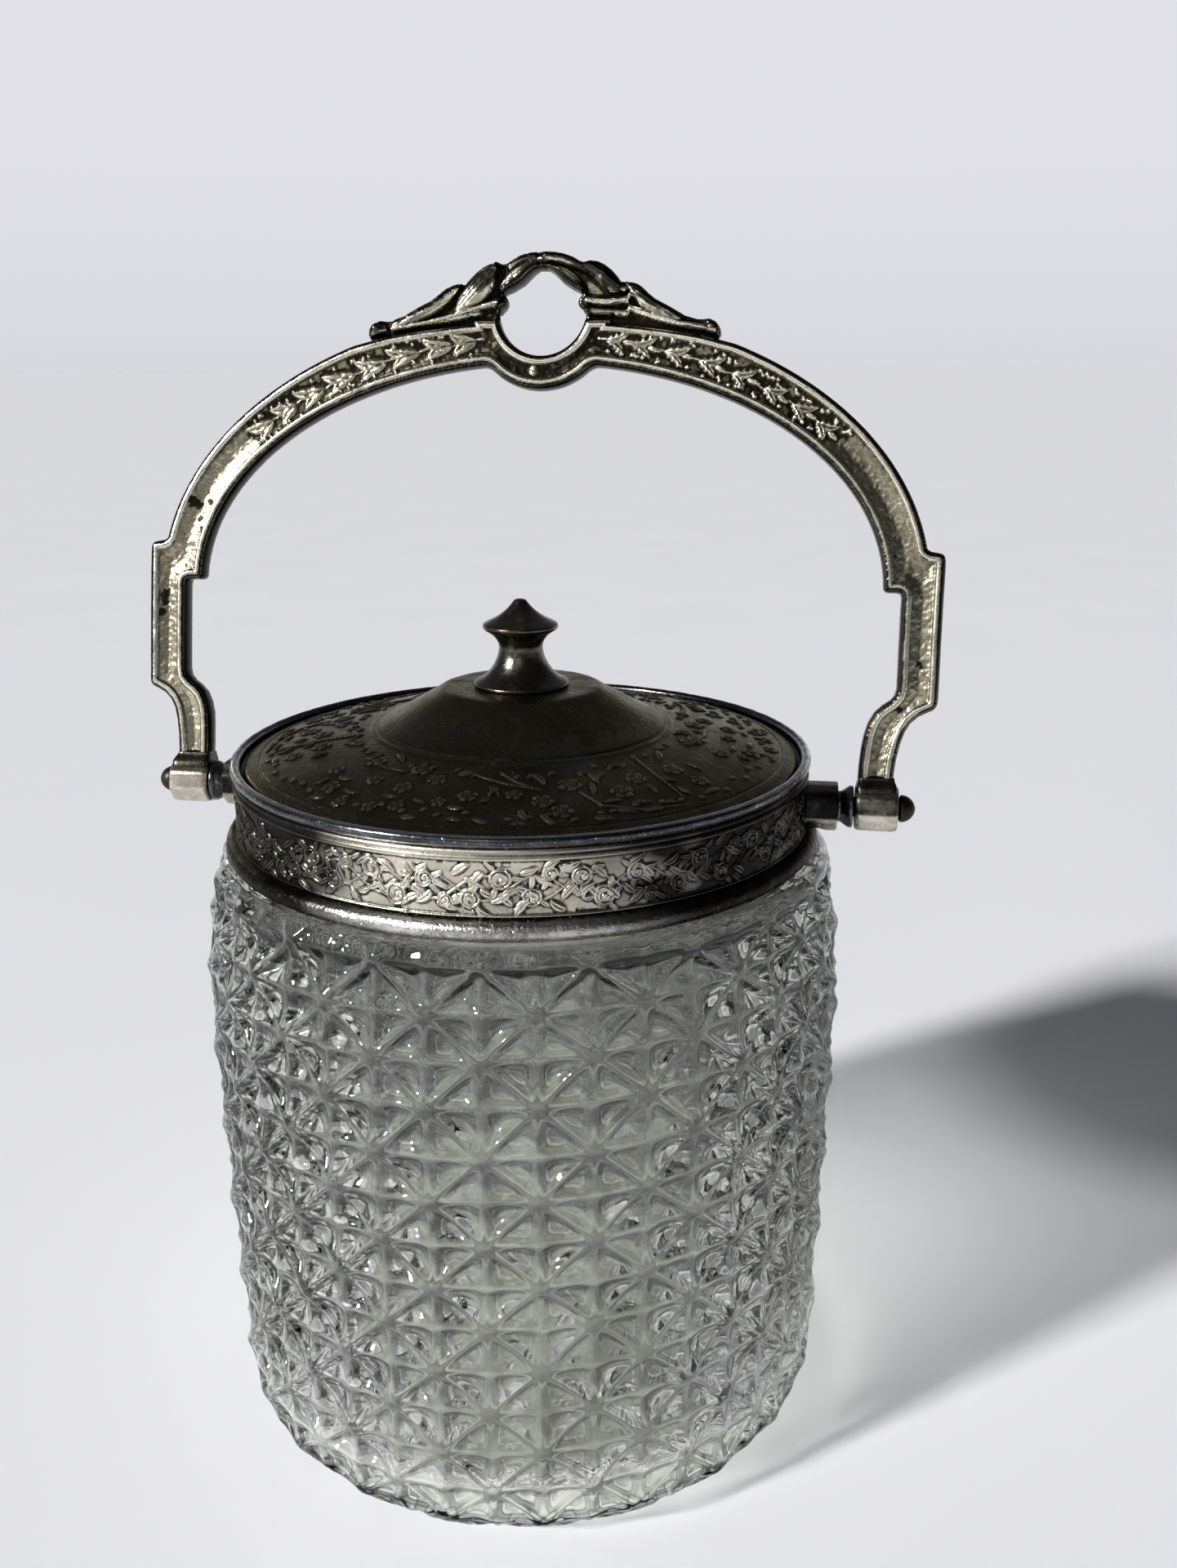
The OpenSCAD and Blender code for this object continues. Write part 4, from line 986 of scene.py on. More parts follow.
def lid_ornament():
    S = Sheet(-54, -54, 54, 54, 0.12)
    rng = np.random.default_rng(17)

    def unit(rot):
        c, s = math.cos(rot), math.sin(rot)

        def T(p):
            return (p[0] * c - p[1] * s, p[0] * s + p[1] * c)

        def TT(ps):
            return [T(p) for p in ps]
        roses = [(-11.8, -32.4, 1.9), (-8.0, -36.4, 1.6), (-13.4, -39.2, 1.6), (-27.2, -37.0, 1.6), (15.4, -35.4, 2.1), (24.6, -35.2, 2.0),
                 (26.2, -29.4, 1.8), (11.8, -42.0, 1.9), (-1.2, -42.0, 1.7), (15.6, -44.4, 1.9), (32.2, -22.9, 1.8), (37.4, -25.2, 1.6),
                 (-17.8, -45.2, 1.35), (-13.0, -45.3, 1.35), (-5.8, -44.2, 1.3), (6.6, -40.8, 1.5), (-23.8, -43.2, 1.3), (-21.5, -28.0, 1.8), (-28.5, -30.0, 1.4), (-19.5, -36.0, 1.4)]
        for x, y, r in roses:
            S.rose(T((x, y)), r, 0.42, rng.uniform(0, 6.28), rng.choice([-1, 1]))
        # long stems
        for ps in ([(-2.6, -33.8), (0.2, -35.4), (4.6, -37.3), (11.0, -38.4)], [(3.2, -33.6), (6.0, -36.2), (9.5, -37.9)],
                   [(25.4, -21.2), (29.5, -26.5), (35.4, -33.2)], [(17.5, -37.5), (22.0, -41.0), (29.0, -40.0), (35.8, -35.4)],
                   [(-24.0, -26.0), (-19.0, -31.0), (-15.0, -33.0)]):
            S.stroke(TT(ps), 0.26, 0.34, 0.16)
        # buds and leaves
        lv = [((-4.9, -34.2), (-1.0, -33.4), 1.5), ((7.6, -32.6), (11.2, -36.6), 1.35), ((17.6, -29.6), (20.4, -33.6), 1.0), ((20.5, -29.0), (19.4, -33.4), 0.9),
              ((18.6, -33.2), (20.0, -37.8), 0.9), ((22.0, -39.8), (25.4, -37.8), 0.9), ((24.0, -41.6), (28.2, -41.0), 0.9), ((26.6, -38.2), (30.0, -36.6), 0.9),
              ((29.2, -40.4), (32.4, -38.2), 0.8), ((31.0, -36.6), (34.6, -34.6), 0.8), ((-18.5, -24.6), (-16.2, -29.0), 1.1), ((-21.4, -24.0), (-24.0, -28.6), 1.0),
              ((3.6, -38.6), (2.4, -42.2), 0.9), ((1.4, -38.4), (4.2, -41.6), 0.7), ((3.2, -43.0), (1.0, -44.2), 0.6), ((-10.6, -43.0), (-8.0, -44.6), 0.8),
              ((8.6, -45.0), (10.4, -48.4), 1.2), ((12.2, -46.0), (15.8, -49.2), 1.1), ((-0.8, -46.2), (-4.4, -45.8), 0.9), ((1.0, -49.0), (3.8, -50.2), 0.8),
              ((7.6, -49.9), (11.0, -49.8), 0.75), ((-11.5, -48.8), (-8.2, -49.2), 0.85), ((-3.4, -49.4), (-0.6, -49.9), 0.7), ((21.0, -45.0), (24.8, -44.2), 1.3),
              ((26.6, -45.0), (29.6, -41.8), 1.0), ((28.6, -15.2), (29.6, -19.6), 1.2), ((30.2, -27.4), (33.6, -27.0), 0.9), ((33.6, -29.4), (36.8, -31.2), 0.9),
              ((-27.0, -33.0), (-24.0, -34.8), 0.8), ((-31.0, -35.0), (-28.6, -33.4), 0.7), ((-24.2, -38.6), (-21.0, -40.2), 0.8), ((-16.6, -41.6), (-13.4, -42.4), 0.7),
              ((-30.2, -40.2), (-27.0, -41.2), 0.8), ((38.6, -29.6), (41.0, -26.4), 0.9), ((34.4, -18.6), (37.6, -20.4), 1.0), ((36.6, -36.6), (39.4, -33.6), 0.8),
              ((16.6, -49.0), (19.6, -47.8), 0.7), ((-19.8, -48.2), (-16.6, -48.6), 0.6), ((30.6, -33.6), (28.6, -31.0), 0.7), ((23.2, -24.6), (20.6, -26.8), 0.9)]
        for a, b, w in lv:
            S.leaf(T(a), T(b), w * 0.62, 0.42, bend=rng.uniform(-0.25, 0.25), vein=0.55)
        # little ovals near the incised line
        for k in range(26):
            q = math.radians(-150 + 120 * (k + rng.uniform(0.2, 0.8)) / 26)
            r = rng.uniform(46.8, 50.4)
            q2 = q + rng.uniform(-0.5, 0.5)
            a, b = (r * math.cos(q), r * math.sin(q)), (r * math.cos(q) + 1.7 * math.cos(q2 + 1.57), r * math.sin(q) + 1.7 * math.sin(q2 + 1.57))
            if math.hypot(*b) < 50.9:
                S.leaf(T(a), T(b), 0.55, 0.34, vein=0.5)
        for k in range(20):
            q = math.radians(-150 + 120 * (k + rng.uniform(0.2, 0.8)) / 20)
            r = rng.uniform(31.0, 34.0)
            q2 = q + rng.uniform(-1.0, 1.0)
            a, b = (r * math.cos(q), r * math.sin(q)), (r * math.cos(q) + 2.0 * math.cos(q2), r * math.sin(q) + 2.0 * math.sin(q2))
            S.leaf(T(a), T(b), 0.55, 0.32, vein=0.5, bend=rng.uniform(-0.3, 0.3))
    for k in range(3):
        unit(k * 2 * math.pi / 3)
    return S


def lid():
    S = lid_ornament()
    low = np.clip((blur(S.h, 3) - S.h) / 0.055, 0, 1)
    LS = Sheet(-54, -54, 54, 54, S.res)
    LS.h = np.clip(blur(low, 1), 0, 1)
    HS = Sheet(-54, -54, 54, 54, S.res)
    HS.h = np.clip((S.h - blur(S.h, 4)) / 0.10, 0, 1)
    nth = 1600
    th = np.arange(nth) * 2 * math.pi / nth
    cen = [(1.85, 153.6), (8.0, 153.62), (14.4, 153.6), (15.4, 153.5), (16.1, 153.2), (16.7, 152.8)]
    # the dome's side falls in a faint hollow to a small step and bead at its foot
    for k in range(1, 16):
        t = k / 16
        r = 16.7 + (28.1 - 16.7) * t
        cen.append((r, 152.8 + (146.5 - 152.8) * t - 0.16 * math.sin(math.pi * t)))
    cen += [(28.2, 146.38), (28.5, 146.1), (28.9, 145.95), (29.3, 145.95), (29.7, 145.84), (30.1, 145.55)]
    prof = [tuple(p) for p in dense(soften(cen, 0.4, 3), 0.8)]
    z_at = lambda r: 145.55 + (141.15 - 145.55) * (r - 30.1) / (51.3 - 30.1) + 0.35 * math.sin(math.pi * (r - 30.1) / (51.3 - 30.1))
    step = 0.2
    n = int((51.3 - 30.1) / step)
    i_rel0 = len(prof)
    for k in range(1, n + 1):
        r = 30.1 + (51.3 - 30.1) * k / n
        prof.append((r, z_at(r)))
    i_rel1 = len(prof)
    edge = [(51.45, 141.05), (51.55, 140.92), (51.65, 140.9), (51.78, 141.0), (52.0, 141.02), (53.0, 140.72), (53.9, 140.42), (54.25, 140.25), (54.4, 139.95), (54.35, 139.55),
            (54.1, 139.42), (51.0, 139.42), (50.1, 139.95), (40.0, 142.6), (30.0, 145.0), (28.4, 145.6), (20, 150.1), (16.2, 152.3), (15.2, 152.68), (6.0, 152.7), (1.85, 152.7)]
    prof += [tuple(p) for p in dense(edge, 2.0)]
    p = np.array(prof)
    R = np.broadcast_to(p[:, 0], (nth, len(p))).copy()
    Z = np.broadcast_to(p[:, 1], (nth, len(p))).copy()
    X, Y = R * np.cos(th)[:, None], R * np.sin(th)[:, None]
    h = S.sample(X, Y)
    idx = np.arange(len(p))
    m = (idx >= i_rel0) & (idx < i_rel1)
    fade = smoothstep(30.2, 31.2, p[:, 0]) * (1 - smoothstep(50.7, 51.2, p[:, 0])) * m
    Z += 1.15 * h * fade[None, :]
    top = idx < i_rel1 + 8
    # old dents and waves in the sheet
    wv = value_noise(R.shape, (26, 10), 91) * 0.045 + value_noise(R.shape, (90, 30), 92) * 0.012
    Z += wv * top[None, :] * smoothstep(2, 10, R) * (1 - smoothstep(52.5, 54.0, R))
    lo = LS.sample(X, Y) * fade[None, :]
    lo = lo + np.exp(-((p[:, 0] - 51.6) / 0.14) ** 2)[None, :] * top[None, :] * 0.9 + np.exp(-((p[:, 0] - 28.35) / 0.25) ** 2)[None, :] * top[None, :] * 0.8
    hi = HS.sample(X, Y) * fade[None, :]
    hi = hi + (0.75 * np.exp(-((p[:, 0] - 51.85) / 0.16) ** 2) + 0.8 * np.exp(-((p[:, 0] - 54.25) / 0.25) ** 2) + 0.6 * np.exp(-((p[:, 0] - 28.9) / 0.25) ** 2))[None, :] * top[None, :]
    P = np.stack([X, Y, Z], -1).reshape(-1, 3)
    o = mesh_object("lid_embossed", P, grid_faces(nth, len(p), wrap_u=True, wrap_v=True, flip=True), M["lid"], True,
                    {"low": np.clip(lo, 0, 1).ravel(), "hi": np.clip(hi, 0, 1).ravel()})
    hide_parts("lid_plate"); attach(o, "lid")
    # locating ring
    pr = soften([(48.55, 134.5), (48.9, 134.35), (49.35, 134.7), (49.4, 137), (49.4, 139.9), (48.9, 140.1), (48.5, 140.0), (48.5, 137)], 0.1, 2)
    turned("lid_ring_inner", pr, M["lid"], "lid", "lid_flange", n=360, rough=0.02, seed=95)


def finial():
    pr = [(1.8, 0.0), (8.9, 0.0), (9.25, 0.08), (9.4, 0.35), (9.35, 0.7), (9.1, 0.92), (8.5, 1.12), (7.7, 1.6), (6.85, 2.3), (6.05, 3.15), (5.4, 4.1), (4.9, 5.1), (4.5, 6.2), (4.28, 7.2),
          (4.32, 8.1), (4.6, 8.9), (5.1, 9.65), (5.8, 10.3), (6.5, 10.78), (7.05, 11.1), (7.35, 11.4), (7.42, 11.8), (7.3, 12.15), (6.9, 12.4), (6.2, 12.75), (5.3, 13.15), (4.3, 13.75),
          (3.3, 14.5), (2.5, 15.2), (1.95, 15.8), (1.6, 16.2), (1.35, 16.55), (1.1, 16.85), (0.65, 16.98), (0.01, 17.0)]
    pr = dense(soften(pr, 0.3, 2), 0.25)
    o = turned("finial_turned", pr, M["finial"], "lid", "finial", n=200, rough=0.018, seed=101, cells=(60, 40), at=Matrix.Translation((0, 0, 0.1536)), wrap=False,
               low=lambda p: 0.5 * np.exp(-((p[:, 1] - 1.3) / 0.5) ** 2) * (p[:, 0] > 6) + 0.35 * np.exp(-((p[:, 1] - 10.6) / 0.7) ** 2))
    for n in ("finial_washer", "finial_stud", "finial_nut"):
        me = NODE[n].data
        me.materials.clear()
        me.materials.append(M["brass"])


collar()
rings()
pivots()
lid()
finial()


# ---------------------------------------------------------------- bail

SIDE = 0.75       # how far the rounded edge stands out beyond the front face


def mirrored(half):
    """A closed outline from its right half, listed from the top of the centre line to its bottom."""
    h = np.asarray(half, float)
    m = h[::-1] * np.array([-1, 1])
    return np.concatenate([h, m])


def ellipse_pts(a, b, c, t0, t1, n):
    t = np.radians(np.linspace(t0, t1, n))
    return [(a * math.sin(q), c + b * math.cos(q)) for q in t]


def bail_outlines():
    c = 41.3
    # arch and legs: over the top of the arch, down the right leg and back up its inside
    t_out = math.degrees(math.asin(38.0 / 77.5))
    half = [(0, 93.2), (6.0, 93.1), (9.5, 92.9), (17.3, 92.15), (24.2, 91.35), (30.6, 90.3), (34.5, 89.3)]
    half += ellipse_pts(77.5, 54.0, c, t_out, 80.6, 60)
    half += [(76.6, 49.9), (77.2, 49.55), (79.0, 49.25), (79.7, 48.9), (80.05, 48.0), (80.1, 46.0), (80.1, 34.0), (80.1, 21.2), (79.95, 20.1), (79.4, 19.3), (78.2, 18.75), (76.6, 17.9),
             (75.3, 16.6), (74.4, 14.9), (73.8, 12.7), (73.3, 9.5), (73.05, 6.0), (73.0, 3.6), (66.2, 3.6), (66.2, 8.0), (66.35, 11.5), (66.6, 14.2), (67.2, 16.6), (68.2, 18.6),
             (69.6, 20.0), (71.0, 21.0), (71.8, 22.0), (72.1, 23.4), (72.1, 30.0), (72.1, 40.6), (71.9, 41.3), (71.2, 41.5), (69.4, 41.5), (68.85, 41.7), (68.6, 42.3)]
    half += ellipse_pts(68.6, 43.5, c, 88.6, 0.0, 90)
    arch = mirrored(half[:])
    # the top and bottom centre points meet their mirror images
    crest = [(0, 106.05), (0.3, 106.05), (2.2, 105.95), (4.1, 105.6), (6.0, 104.95), (7.3, 104.15), (8.1, 103.95), (9.3, 104.25), (10.8, 104.1), (12.2, 103.45), (13.6, 102.4), (14.8, 101.1),
             (15.45, 100.15), (16.1, 100.15), (17.2, 100.35), (18.5, 100.0), (19.7, 99.1), (20.9, 97.9), (22.3, 96.8), (24.7, 95.6), (27.7, 94.0), (30.2, 93.25), (31.4, 93.2), (32.8, 93.2),
             (34.1, 92.5), (34.9, 91.3), (35.1, 90.2), (34.4, 89.2), (33.4, 88.6), (24.0, 89.6), (12.0, 91.4), (9.4, 90.8), (0, 90.0)]
    crest = mirrored(crest)
    hole = [(0, 102.75), (0.9, 102.7), (1.8, 102.25), (2.8, 101.35), (3.9, 100.25), (5.8, 99.05), (7.3, 98.35), (7.7, 98.0), (7.0, 97.2), (6.85, 96.5), (7.1, 95.8), (7.9, 95.1), (8.3, 94.2)]
    t = np.radians(np.linspace(-5, -90, 22))
    hole += [(8.62 * math.cos(q), 94.95 + 8.62 * math.sin(q)) for q in t]
    hole = mirrored(hole)
    return arch, crest, hole


def sdf_polygon(poly, X, Y, g, reach=6.0):
    """Signed distance (negative inside) to a closed polygon on a regular grid X[i], Y[j]."""
    D = np.full((len(X), len(Y)), reach)
    P = np.asarray(poly, float)
    Q = np.roll(P, -1, 0)
    for a, b in zip(P, Q):
        d = b - a
        l2 = float(d @ d)
        if l2 < 1e-10:
            continue
        i0, i1 = np.searchsorted(X, [min(a[0], b[0]) - reach, max(a[0], b[0]) + reach])
        j0, j1 = np.searchsorted(Y, [min(a[1], b[1]) - reach, max(a[1], b[1]) + reach])
        if i1 <= i0 or j1 <= j0:
            continue
        x, y = X[i0:i1, None], Y[None, j0:j1]
        t = np.clip(((x - a[0]) * d[0] + (y - a[1]) * d[1]) / l2, 0, 1)
        r = np.hypot(x - a[0] - t * d[0], y - a[1] - t * d[1])
        D[i0:i1, j0:j1] = np.minimum(D[i0:i1, j0:j1], r)
    inside = np.zeros((len(X), len(Y)), dtype=bool)
    for j, y in enumerate(Y):
        c = ((P[:, 1] <= y) & (Q[:, 1] > y)) | ((Q[:, 1] <= y) & (P[:, 1] > y))
        if not c.any():
            continue
        a, b = P[c], Q[c]
        xs = np.sort(a[:, 0] + (y - a[:, 1]) / (b[:, 1] - a[:, 1]) * (b[:, 0] - a[:, 0]))
        k = np.searchsorted(xs, X)
        inside[:, j] = (k % 2) == 1
    return np.where(inside, -D, D)


def ball_noise(nx, ny, g, cell, seed):
    return value_noise((nx, ny), (max(2, int(nx * g / cell)), max(2, int(ny * g / cell))), seed, wrap0=False)


def crest_relief(S, left):
    """The leafy scrolls of one side; the left one is mirrored when the two are joined."""
    if left:
        # one broad pale leaf up to the clasp, a large and a long leaf, and the strand that ends in a curl
        S.leaf((8.6, 98.4), (0.6, 104.9), 2.35, 2.95, bend=0.06, vein=0.0)
        S.stroke([(1.6, 105.1), (4.2, 104.4), (6.6, 103.0)], 0.8, 2.5, 0.6)
        S.leaf((17.2, 94.0), (9.0, 103.7), 2.75, 3.35, bend=0.07, vein=0.0)
        S.leaf((30.2, 91.8), (16.2, 99.5), 2.2, 2.9, bend=0.05, vein=0.0)
        S.stroke([(8.6, 96.3), (12.2, 95.5), (17.2, 93.9), (23.0, 92.5), (30.0, 91.3)], 1.05, 2.55, 0.55)
        S.dome((8.7, 96.0), 1.5, 2.9)
        S.stroke([(12.4, 94.2), (18.0, 93.0), (24.0, 91.8)], 0.45, 2.1, 0.4)
        S.dome((33.2, 91.3), 2.0, 2.75)
        fine = (([(9.2, 97.6), (6.4, 100.8), (2.6, 103.8)], 0.22, 0.45), ([(8.0, 97.8), (5.6, 100.0), (2.6, 102.8)], 0.16, 0.30), ([(9.6, 98.6), (7.2, 101.8), (4.4, 103.6)], 0.16, 0.30),
                ([(16.4, 95.2), (13.4, 98.6), (10.4, 102.6)], 0.20, 0.40), ([(15.2, 95.6), (12.0, 98.8), (9.8, 101.4)], 0.16, 0.30), ([(15.4, 97.4), (13.4, 100.2), (11.6, 102.4)], 0.16, 0.28),
                ([(28.4, 92.6), (23.4, 95.0), (18.0, 98.6)], 0.20, 0.40), ([(26.0, 93.0), (21.6, 95.0), (17.6, 97.4)], 0.16, 0.30), ([(25.6, 94.6), (21.6, 96.8), (18.4, 98.9)], 0.15, 0.26),
                ([(10.0, 96.6), (14.6, 95.2), (20.0, 93.7), (27.0, 92.2)], 0.20, 0.35), ([(34.6, 92.0), (33.2, 92.4), (31.9, 91.6)], 0.30, 0.45))
    else:
        S.stroke([(0.8, 105.0), (4.4, 104.5), (8.4, 103.5), (11.6, 101.7), (15.0, 98.9)], 1.35, 2.75, 2.1)
        S.leaf((8.2, 98.6), (0.9, 103.5), 1.35, 3.15, bend=-0.08, vein=0.0)
        S.stroke([(8.9, 96.5), (12.4, 96.1), (16.6, 96.6)], 0.95, 2.65, 0.9)
        S.stroke([(9.0, 94.7), (12.4, 94.3), (16.6, 94.0)], 0.85, 2.35, 0.9)
        S.leaf((27.2, 92.9), (16.4, 99.6), 2.1, 3.05, bend=0.10, vein=0.0)
        S.stroke([(17.4, 95.0), (21.6, 93.6), (27.0, 92.0), (33.6, 90.9)], 0.95, 2.5, 0.85)
        S.dome((33.2, 91.3), 2.05, 2.6)
        S.dome((17.3, 97.4), 0.8, 3.1)
        fine = (([(2.0, 103.6), (6.4, 102.4), (9.8, 100.2), (12.4, 97.9)], 0.26, 0.75), ([(9.0, 103.9), (12.2, 101.9), (15.0, 99.9)], 0.16, 0.30), ([(8.0, 102.6), (11.0, 100.6), (13.8, 98.2)], 0.16, 0.32),
                ([(10.2, 97.5), (13.4, 97.4), (17.0, 98.0)], 0.36, 1.1), ([(9.4, 95.6), (13.0, 95.2), (17.0, 95.3)], 0.26, 0.8), ([(10.0, 94.4), (13.4, 94.1), (16.4, 93.7)], 0.14, 0.3),
                ([(10.0, 96.3), (13.4, 96.0), (16.6, 96.3)], 0.13, 0.3), ([(7.6, 99.0), (4.6, 101.2), (2.0, 103.0)], 0.15, 0.28), ([(25.6, 93.4), (21.4, 95.6), (17.8, 98.4)], 0.18, 0.40),
                ([(23.6, 93.8), (20.0, 95.5), (17.6, 97.0)], 0.14, 0.3), ([(23.4, 95.6), (20.6, 97.4), (18.6, 98.9)], 0.14, 0.26), ([(18.4, 94.4), (23.4, 92.9), (29.6, 91.3)], 0.16, 0.35),
                ([(34.8, 91.6), (33.4, 92.4), (31.9, 91.9)], 0.26, 0.4))
    S.dome((0.0, 104.3), 1.6, 2.6)
    for pts, w, d in fine:
        S.groove(pts, w, d)


def channel_relief(S, seed, small):
    """Leaves and berries along the right half of the arch's channel."""
    rng = np.random.default_rng(seed)

    def at(t, off):
        q = math.radians(t)
        a, b = 73.05 + off, 48.75 + off
        return (a * math.sin(q), 41.0 + b * math.cos(q))
    ts = [10.2, 14.0, 19.5, 25.2, 31.0, 36.8, 42.6, 48.0]
    stem = [at(t, 0.25 * math.sin(t * 0.8)) for t in np.linspace(9, 50, 40)]
    S.stroke(stem, 0.24, 0.42, 0.12)
    for k, t in enumerate(ts):
        ln = (6.1 if not small else 4.3) * (0.85 if k == 0 else 1.0) * rng.uniform(0.92, 1.08)
        dt = ln / 1.22
        n = at(t, 0)
        up, dn = at(t + dt, 2.15 + rng.uniform(-0.2, 0.2)), at(t + dt, -2.1 + rng.uniform(-0.2, 0.2))
        w = 1.42 if not small else 1.05
        S.leaf(n, up, w, 0.78, bend=-0.22, vein=0.55, notch=0 if not small else 4)
        S.leaf(n, dn, w, 0.78, bend=0.22, vein=0.55, notch=0 if not small else 4)
        if small:
            m1, m2 = at(t + 2.6, 0.0), at(t + 5.0, 0.3 * (-1) ** k)
            S.leaf(m1, m2, 0.6, 0.8, vein=0.5)
        for j in range(8 if not small else 9):
            tt, oo = t + rng.uniform(0.2, 5.6), rng.choice([-1, 1]) * rng.uniform(1.5, 2.7)
            p = at(tt, oo)
            S.dome(p, rng.uniform(0.28, 0.42), 0.66)


def paired(left, right):
    """One sheet from two right halves; the left one is mirrored."""
    S = Sheet(0, left.y0, left.nx * left.res, left.y0 + left.ny * left.res, left.res)
    S.x0, S.nx, S.ny = -left.nx * left.res, 2 * left.nx, left.ny
    S.h = np.concatenate([left.h[::-1], right.h], 0)
    return S


def bail():
    g = 0.21
    X = np.arange(-81.9, 82.0, g)
    Y = np.arange(2.4, 107.2, g)
    arch, crest, hole = bail_outlines()
    # extra points keep the distances smooth on long curves
    s_arch = sdf_polygon(arch, X, Y, g)
    s_crest = sdf_polygon(crest, X, Y, g)
    s_hole = sdf_polygon(hole, X, Y, g)
    XX, YY = np.meshgrid(X, Y, indexing="ij")
    disc = np.hypot(XX, YY - 93.5) - 13.8
    disc = np.maximum(disc, YY - 93.2)
    s_flat = np.minimum(s_arch, disc)
    # a small fillet where the ring's bulge meets the arch
    k = 1.6
    hmix = np.clip(0.5 + 0.5 * (disc - s_arch) / k, 0, 1)
    s_smooth = disc * (1 - hmix) + s_arch * hmix - k * hmix * (1 - hmix)
    s_flat = np.where(YY < 88.5, s_smooth, s_flat)
    s_flat = np.maximum(s_flat, -s_hole)
    s_cr = np.maximum(s_crest, -s_hole)
    s_all = np.minimum(s_flat, s_cr)
    # ---- thickness
    res = 0.12
    cl, cr, left, right = (Sheet(0, 2, 82, 107.6, res) for k in range(4))
    crest_relief(cl, True)
    crest_relief(cr, False)
    channel_relief(left, 3, False)
    channel_relief(right, 4, True)
    Cmap = paired(cl, cr)
    FS = paired(left, right)
    d = -s_flat
    top = 2.34
    e = np.clip(d / SIDE, 0, 1)
    edge = top * np.sqrt(np.clip(1 - (1 - e) ** 2, 0, 1))
    rail_w = 1.12
    a = smoothstep(SIDE + rail_w - 0.10, SIDE + rail_w + 0.22, d)
    trough = 0.62 * a + 0.42 * smoothstep(SIDE + rail_w + 0.2, SIDE + rail_w + 2.6, d)
    # the ridge is rounded over its width, with a fine second step on its inner side
    rr = np.clip((d - SIDE) / rail_w, 0, 1)
    ridge = -0.14 * (2 * rr - 1) ** 2 * (d < SIDE + rail_w) * (d > SIDE * 0.5)
    step = 0.10 * np.exp(-((d - SIDE - rail_w - 0.42) / 0.14) ** 2)
    T = edge + ridge - trough + step
    flor = FS.sample(XX, YY) * a
    nx, ny = len(X), len(Y)
    pebble = (0.055 * ball_noise(nx, ny, g, 0.55, 201) + 0.05 * ball_noise(nx, ny, g, 1.3, 202)) * a
    T = T + flor * 0.80 + pebble + 0.03 * ball_noise(nx, ny, g, 2.2, 203)
    bright_spot = np.exp(-(((XX + 1.2) / 0.75) ** 2 + ((YY - 83.2) / 0.85) ** 2)) * 0.45
    T = T + bright_spot * a
    T = np.where(s_flat < 0, np.maximum(T, 0.7), 0)
    crest_t = 1.15 + 0.92 * np.maximum(Cmap.sample(XX, YY) - 0.9, -0.35)
    # the scrolls die away into the dark groove over the arch's rim
    crest_t = crest_t + 0.05 * ball_noise(nx, ny, g, 0.5, 204) + 0.05 * ball_noise(nx, ny, g, 1.2, 205)
    ec = np.clip(-s_cr / 0.9, 0, 1)
    crest_t = np.where(s_cr < 0, crest_t * (0.62 + 0.38 * np.sqrt(np.clip(1 - (1 - ec) ** 2, 0, 1))), 0)
    in_crest = (s_cr < 0) & (s_flat > -0.3)
    TT = np.maximum(T, np.where(s_cr < 0, np.where(s_flat < -0.3, 0, crest_t), 0))
    gap = np.exp(-((s_flat - 0.15) / 0.42) ** 2) * (s_cr < 0) * (np.abs(XX) > 9.6) * (YY > 88)
    TT = TT * (1 - 0.62 * gap)
    TT = np.where(s_all < 0, np.maximum(TT, 0.75), 0.75)
    # ---- dark in the recesses
    nb = max(1, int(round(0.55 / g)))
    cav = np.clip((blur(TT, nb) - TT) / 0.14, 0, 1)
    low = cav * (0.5 + 0.5 * smoothstep(58, 74, YY)) * (s_all < -SIDE)
    low = low + 0.22 * a * (s_flat < 0) * (1 + 0.5 * ball_noise(nx, ny, g, 3.0, 206))
    spray = (FS.sample(XX, YY) > 0.12)
    near = blur(spray.astype(float), max(1, int(1.2 / g)))
    low = low + 0.40 * np.clip(near * 2.2, 0, 1) * (~spray) * a
    ringch = smoothstep(16.0, 13.0, np.hypot(XX, YY - 94)) * a * (s_flat < 0)
    low = low + 0.45 * ringch - 0.9 * bright_spot * 2
    for (w, u, r) in ((-76.7, 38.5, 1.1), (-77.0, 36.8, 0.9), (-77.3, 34.6, 0.9), (-71.3, 57.4, 1.2), (-69.9, 56.6, 1.0), (-67.3, 57.0, 0.7), (-69.5, 53.9, 0.8), (-69.0, 51.6, 0.8),
                      (75.9, 28.2, 0.8), (76.6, 27.4, 0.6), (72.6, 19.3, 0.7), (70.3, 48.4, 0.5), (-78.9, 30.5, 0.5)):
        q = np.hypot(XX - w, YY - u) / r + 0.45 * ball_noise(nx, ny, g, 0.6, 207)
        low = low + 1.2 * smoothstep(1.05, 0.7, q)
    dk = np.where(in_crest, 0.10 + 0.55 * smoothstep(2.2, 0.9, -s_cr + 0.4 * ball_noise(nx, ny, g, 1.6, 208)) * smoothstep(-0.2, 1.2, YY - (91.5 + 0.0 * XX)), 0.0)
    for w, u, rw, ru, ang, k in ((-11.2, 100.6, 3.0, 1.7, -50, 0.72), (-22.0, 96.6, 4.6, 1.2, -30, 0.66), (9.6, 102.7, 3.4, 1.5, -25, 0.80), (13.4, 100.0, 2.6, 1.6, -42, 0.88),
                                 (20.4, 97.2, 3.4, 1.2, -32, 0.80), (33.4, 91.9, 1.6, 1.1, 0, 0.70), (-33.2, 91.6, 1.7, 1.2, 0, 0.72), (0.2, 103.5, 1.5, 1.1, 0, 0.60),
                                 (-8.7, 95.8, 1.2, 1.3, 0, 0.62), (12.6, 94.4, 3.4, 0.9, 0, 0.50), (14.0, 97.6, 3.4, 0.5, 5, 0.95)):
